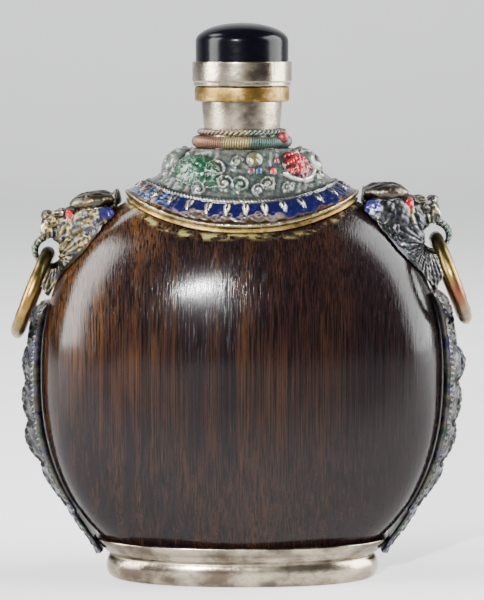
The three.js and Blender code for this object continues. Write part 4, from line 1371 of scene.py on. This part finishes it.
def mask_paint(local, side):
    """The mask's colour at each point, and how much of it is enamel."""
    colour = tinted(
        DARK_SILVER,
        (patches(local, 3.2, 52, 0.0, 0.8) * 0.4, tone(70, 74, 96)),
        (patches(local, 2.4, 53, 0.3, 0.9) * 0.4, tone(116, 100, 88)),
        (patches(local, 1.7, 54, 0.5, 1.0) * 0.3, tone(70, 92, 86)),
        (patches(local * [1, 1, 0.6], 1.1, 51, 0.6, 1.0) * 0.3, tone(176, 170, 160)),
    )
    glaze = np.zeros(len(local))
    for middle, sizes, shade, glassy, paired in FACE:
        about = np.stack([local[:, 0], np.abs(local[:, 1]) if paired else local[:, 1], local[:, 2]], -1)
        far = np.linalg.norm((about - middle) / sizes, axis=-1)
        cover = 1 - smoothstep(far, 1.02, 1.02 + 0.25 / min(sizes))
        # Each lump's colour is laid over the mask. For the cheek leaf and the nostril lump it is a painted
        # highlight.
        lump_colour_and_highlight = cover * (1 if glassy > 0.4 or min(sizes) < 0.7 else 0.6)
        colour = tinted(colour, (lump_colour_and_highlight, shade))
        glaze = lerp(glaze, glassy, cover)

    x, y, z = local.T
    cell = smoothstep(x, -11.6, -10.9) * (1 - smoothstep(x, -9.4, -8.6))
    cell *= smoothstep(z, 4.1, 4.5) * (1 - smoothstep(z, 6.0, 6.3)) * (np.abs(y) > 4)
    green = smoothstep(x, 0.9, 1.3) * (1 - smoothstep(np.hypot(x, z), 3.5, 3.8))
    green *= smoothstep(z, -0.6, 0.2) * (1 - smoothstep(z, 3.0, 3.6))
    colour = tinted(colour, (green, tone(14, 60, 46)), (cell, tone(40, 38, 120)))
    glaze = np.maximum(glaze, np.maximum(green * 0.7, cell * 0.8))
    if side == "left":
        gilding = 0.75 * patches(local, 2.6, 56, -0.6, 0.5) * (1 - glaze)
        colour = tinted(colour, (gilding, tone(112, 98, 58)))
    return colour, glaze


def lion(side):
    """One mask. Both are made on the right, and the left one is turned over to its own side."""
    points, faces = mask_skin(side)
    colour, glaze = mask_paint(about_eye(points, side), side)
    stands_out = 1.4 * ridges((points, faces), 8) - 0.012
    points = points + [0, 0, BODY_MIDDLE]
    if side == "left":
        points = points * [-1, 1, 1]
        faces = [face[::-1] for face in faces]
    mask = made(
        f"lion_head_{side}",
        (points, faces),
        "bottle",
        "patinated_silver",
        relief_metal,
        tint=colour,
        glaze=glaze,
        ridge=stands_out,
    )
    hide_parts(f"lion_mask_{side}")


for side_name in ("left", "right"):
    lion(side_name)

# The loose rings: bent from thick gilt copper rod and worn. The left one has kept its gold colour, and the
# right one is rubbed to red copper over its lower half.
RING_RADIUS = 6.75
RING_HALF = 1.15
RING_LEAN = {"left": 21.5, "right": 20.5}
RING_WEAR = 0.1
RING_DENT = 0.04
HAND = {"left": -1, "right": 1}


def worn_gilt(blank):
    tint = blank.mark("tint", 0)
    cloud = blank.noise((0.35, 0.35, 0.35), 3.0, 0.6)
    pit = blank.noise((2.4, 2.4, 2.4), 3.0, 0.6).between(0.6, 0.72)
    return {
        "Base Color": (pit * 0.6).blend(tint, tone(52, 40, 28)),
        "Metallic": 1.0,
        "Roughness": 0.26 + cloud * 0.16 + pit * 0.2,
        "Normal": blank.bump(cloud * 3.0 - pit, 0.02),
    }


ring_metal = finish("worn_gilt", worn_gilt)
for side_name, mirror in HAND.items():
    lean = math.radians(RING_LEAN[side_name])
    eye = np.array([EYE_OUT[side_name] + 0.3, 0, BODY_MIDDLE + EYE_RISE[side_name] - 0.2])
    hang = np.array([math.sin(lean), 0, -math.cos(lean)])
    course = turns(220)
    outward = -np.cos(course)[:, None] * hang + np.sin(course)[:, None] * np.array([0, 1, 0])
    ring_path = eye + hang * RING_RADIUS + outward * RING_RADIUS
    ring_grid = tube(ring_path, RING_HALF, outward, 40, True)
    dents = RING_DENT * wave(ring_grid, 3.5, 61) - RING_WEAR
    centre = ring_path[:, None]
    ring_grid = centre + (ring_grid - centre) * (1 + dents[..., None] / RING_HALF)
    low = smoothstep((ring_grid - eye) @ hang, 0, 2 * RING_RADIUS)
    clouds = 0.5 * wave(ring_grid, 3.0, 62)
    if side_name == "left":
        ring_tint = tinted(
            tone(150, 120, 64),
            (1 - smoothstep(low + 0.1 * clouds, 0.02, 0.3), tone(92, 84, 50)),
            (smoothstep(clouds, 0.1, 0.6) * 0.5, tone(180, 150, 96)),
            (smoothstep(low, 0.85, 1), tone(150, 128, 84)),
        )
    else:
        ring_tint = tinted(
            tone(156, 128, 74),
            (1 - smoothstep(low + 0.1 * clouds, 0.02, 0.22), tone(96, 84, 50)),
            (smoothstep(low + 0.12 * clouds, 0.42, 0.6), tone(140, 90, 66)),
            (smoothstep(low + 0.1 * clouds, 0.8, 0.95), tone(150, 124, 98)),
        )
    ring = made(
        f"loose_ring_{side_name}",
        skin(ring_grid * [mirror, 1, 1], True),
        f"ring_{side_name}",
        "gilt_copper",
        ring_metal,
        tint=on_poles(ring_tint, True),
    )
    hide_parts(f"mouth_ring_{side_name}")

# The straps: cast strips of silver down the narrow sides, chased with a row of rosettes between scrolls and
# corded edges. They lie on the wood, and reach straight down past the foot's collar.
STRAP_TOP = {"left": 11.2, "right": 13.0}
STRAP_HALF_WIDTHS = (3.6, 4.6)
STRAP_THICKNESSES = (1.2, 2.0)
STRAP_FOOT = 4.2
STRAP_LEAVES = 10.4
STRAP_FULL = 25.0
STRAP_CROWN = 0.5
STRAP_ROWS = 380
FRONT_COLUMNS = 90
BACK_COLUMNS = 12
FOOT_CLEARANCE = 0.15
BOSS_PITCH = 6.3
BOSS_HEIGHT = 1.4
TOP_BOSS = 34.6
PETALS = 8
PETAL_HEIGHT = 0.42
BUTTON_RADIUS = 0.75
BUTTON_HEIGHT = 0.45
SCROLL_HEIGHT = 0.42
CORD_AT = 0.9
CORD_HALF = 0.08
CORD_PITCH = 0.85
CORD_HEIGHT = 0.3
PUNCHING = 0.06


def strap_inner(depth, level):
    """How far out the strap's inner side lies: over the wood, and straight from there down past the foot."""
    collar_outer = FOOT_HALF[0] + FOOT_COLLAR + FOOT_CLEARANCE
    leaves_at = BODY_HALF[0] * float(body_share(STRAP_LEAVES - BODY_MIDDLE)) + WOOD_CLEARANCE
    straight = lerp(collar_outer, leaves_at, (level - FOOT_HEIGHT) / (STRAP_LEAVES - FOOT_HEIGHT))
    rise = level - BODY_MIDDLE
    share = root(1 - power(depth / BODY_HALF[1]) - power(rise / tallness(rise)))
    on_wood = np.maximum(BODY_HALF[0] * share + WOOD_CLEARANCE, leaves_at)
    return np.where(level < STRAP_LEAVES, straight, on_wood)


def from_nearest(level, start):
    """How far a level is from the nearest of a row of places, one boss apart."""
    return (level - start + BOSS_PITCH / 2) % BOSS_PITCH - BOSS_PITCH / 2


def strap(side, mirror):
    """One strap, in rows from its foot to its top that each go round it."""
    levels = np.linspace(STRAP_FOOT, BODY_MIDDLE + STRAP_TOP[side], STRAP_ROWS)
    back = np.linspace(1, -1, BACK_COLUMNS + 2)[1:-1]
    widths = np.concatenate([np.linspace(-1, 1, FRONT_COLUMNS), back])
    outer = np.concatenate([np.ones(FRONT_COLUMNS), np.zeros(BACK_COLUMNS)])
    level, width = np.meshgrid(levels, widths, indexing="ij")
    below_top = levels[-1] - level
    depth = width * lerp(*STRAP_HALF_WIDTHS, (level - levels[0]) / (levels[-1] - levels[0]))
    on_strap = np.stack([0 * level, depth, level], -1)
    growth = smoothstep(level, STRAP_LEAVES, STRAP_FULL)

    # A row of rosettes, each with a button in its middle, on swellings of the metal.
    swelling = np.sqrt(np.abs(np.cos(np.pi * (level - TOP_BOSS) / BOSS_PITCH)))
    swelling *= 1 - smoothstep(level, TOP_BOSS, TOP_BOSS + BOSS_PITCH / 2)
    swelling *= lerp(0.3, 1, growth) * (1 - width**2)
    swelling *= 0.75 + 0.25 * np.sin(1.7 * np.round((level - TOP_BOSS) / BOSS_PITCH) + mirror)
    from_boss = from_nearest(level, TOP_BOSS)
    far = np.hypot(depth, from_boss)
    petals = np.sqrt(np.abs(np.cos(PETALS / 2 * np.arctan2(from_boss, depth))))
    petals *= smoothstep(far, 0.6, 1.1) * (1 - smoothstep(far, 1.9, 2.4))
    button = np.sqrt(mound(far, 0, BUTTON_RADIUS, 1))

    # Scrolls between them, and a cord along each edge.
    from_gap = from_nearest(level, TOP_BOSS + BOSS_PITCH / 2)
    scrolls = scroll(np.abs(depth), from_gap, (1.5, 0), 1.35, 1)
    cord = mound(np.abs(width) - CORD_AT, 0, CORD_HALF, 1)
    cord *= 0.55 + 0.45 * np.cos(2 * np.pi * (level / CORD_PITCH + 0.6 * np.abs(width)))
    detail = PETAL_HEIGHT * petals + BUTTON_HEIGHT * button + SCROLL_HEIGHT * scrolls + CORD_HEIGHT * cord
    detail = lerp(0.55, 1, growth) * detail + PUNCHING * wave(on_strap, 1.3, 71)

    plain = lerp(*STRAP_THICKNESSES, growth) - STRAP_CROWN * width**2
    thickness = plain + BOSS_HEIGHT * swelling + detail - 0.25
    thickness *= 0.3 + 0.7 * np.sqrt(smoothstep(below_top, -0.2, 2.2))
    lean = strap_inner(depth, level + 0.5) - strap_inner(depth, level - 0.5)
    out = np.stack([np.ones(level.shape), np.zeros(level.shape), -lean], -1)
    out /= np.linalg.norm(out, axis=-1, keepdims=True)
    inner = np.stack([strap_inner(depth, level), depth, level], -1)
    grid = (inner + out * (outer * thickness)[..., None]) * [mirror, 1, 1]

    mottled = wave(on_strap, 2.8, 72)
    deep = (1 - smoothstep(petals + button + scrolls + cord, 0.1, 0.4)) * outer
    colour = tinted(
        tone(34, 33, 34),
        (smoothstep(mottled, 0.0, 0.7) * 0.6, tone(24, 26, 32)),
        (patches(grid, 1.7, 73, 0.4, 1) * 0.5, tone(74, 62, 50)),
        (deep * smoothstep(mottled, -0.1, 0.5) * 0.8, tone(30, 34, 76)),
        (deep * smoothstep(-mottled, 0.3, 0.8) * 0.8, tone(28, 56, 50)),
        (button * (0.5 + 0.5 * np.sin(level)) * outer, tone(120, 50, 44)),
        (1 - smoothstep(below_top, 1, 5), tone(30, 30, 32)),
    )
    surface = skin(grid, False)
    piece = made(
        f"cast_strap_{side}",
        surface,
        "bottle",
        "patinated_silver",
        relief_metal,
        tint=on_poles(colour),
        glaze=on_poles(deep * 0.5),
        ridge=np.minimum(ridges(surface, 12) - 0.03, 0.06),
    )
    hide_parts(f"side_strap_{side}")


for side_name, mirror in HAND.items():
    strap(side_name, mirror)
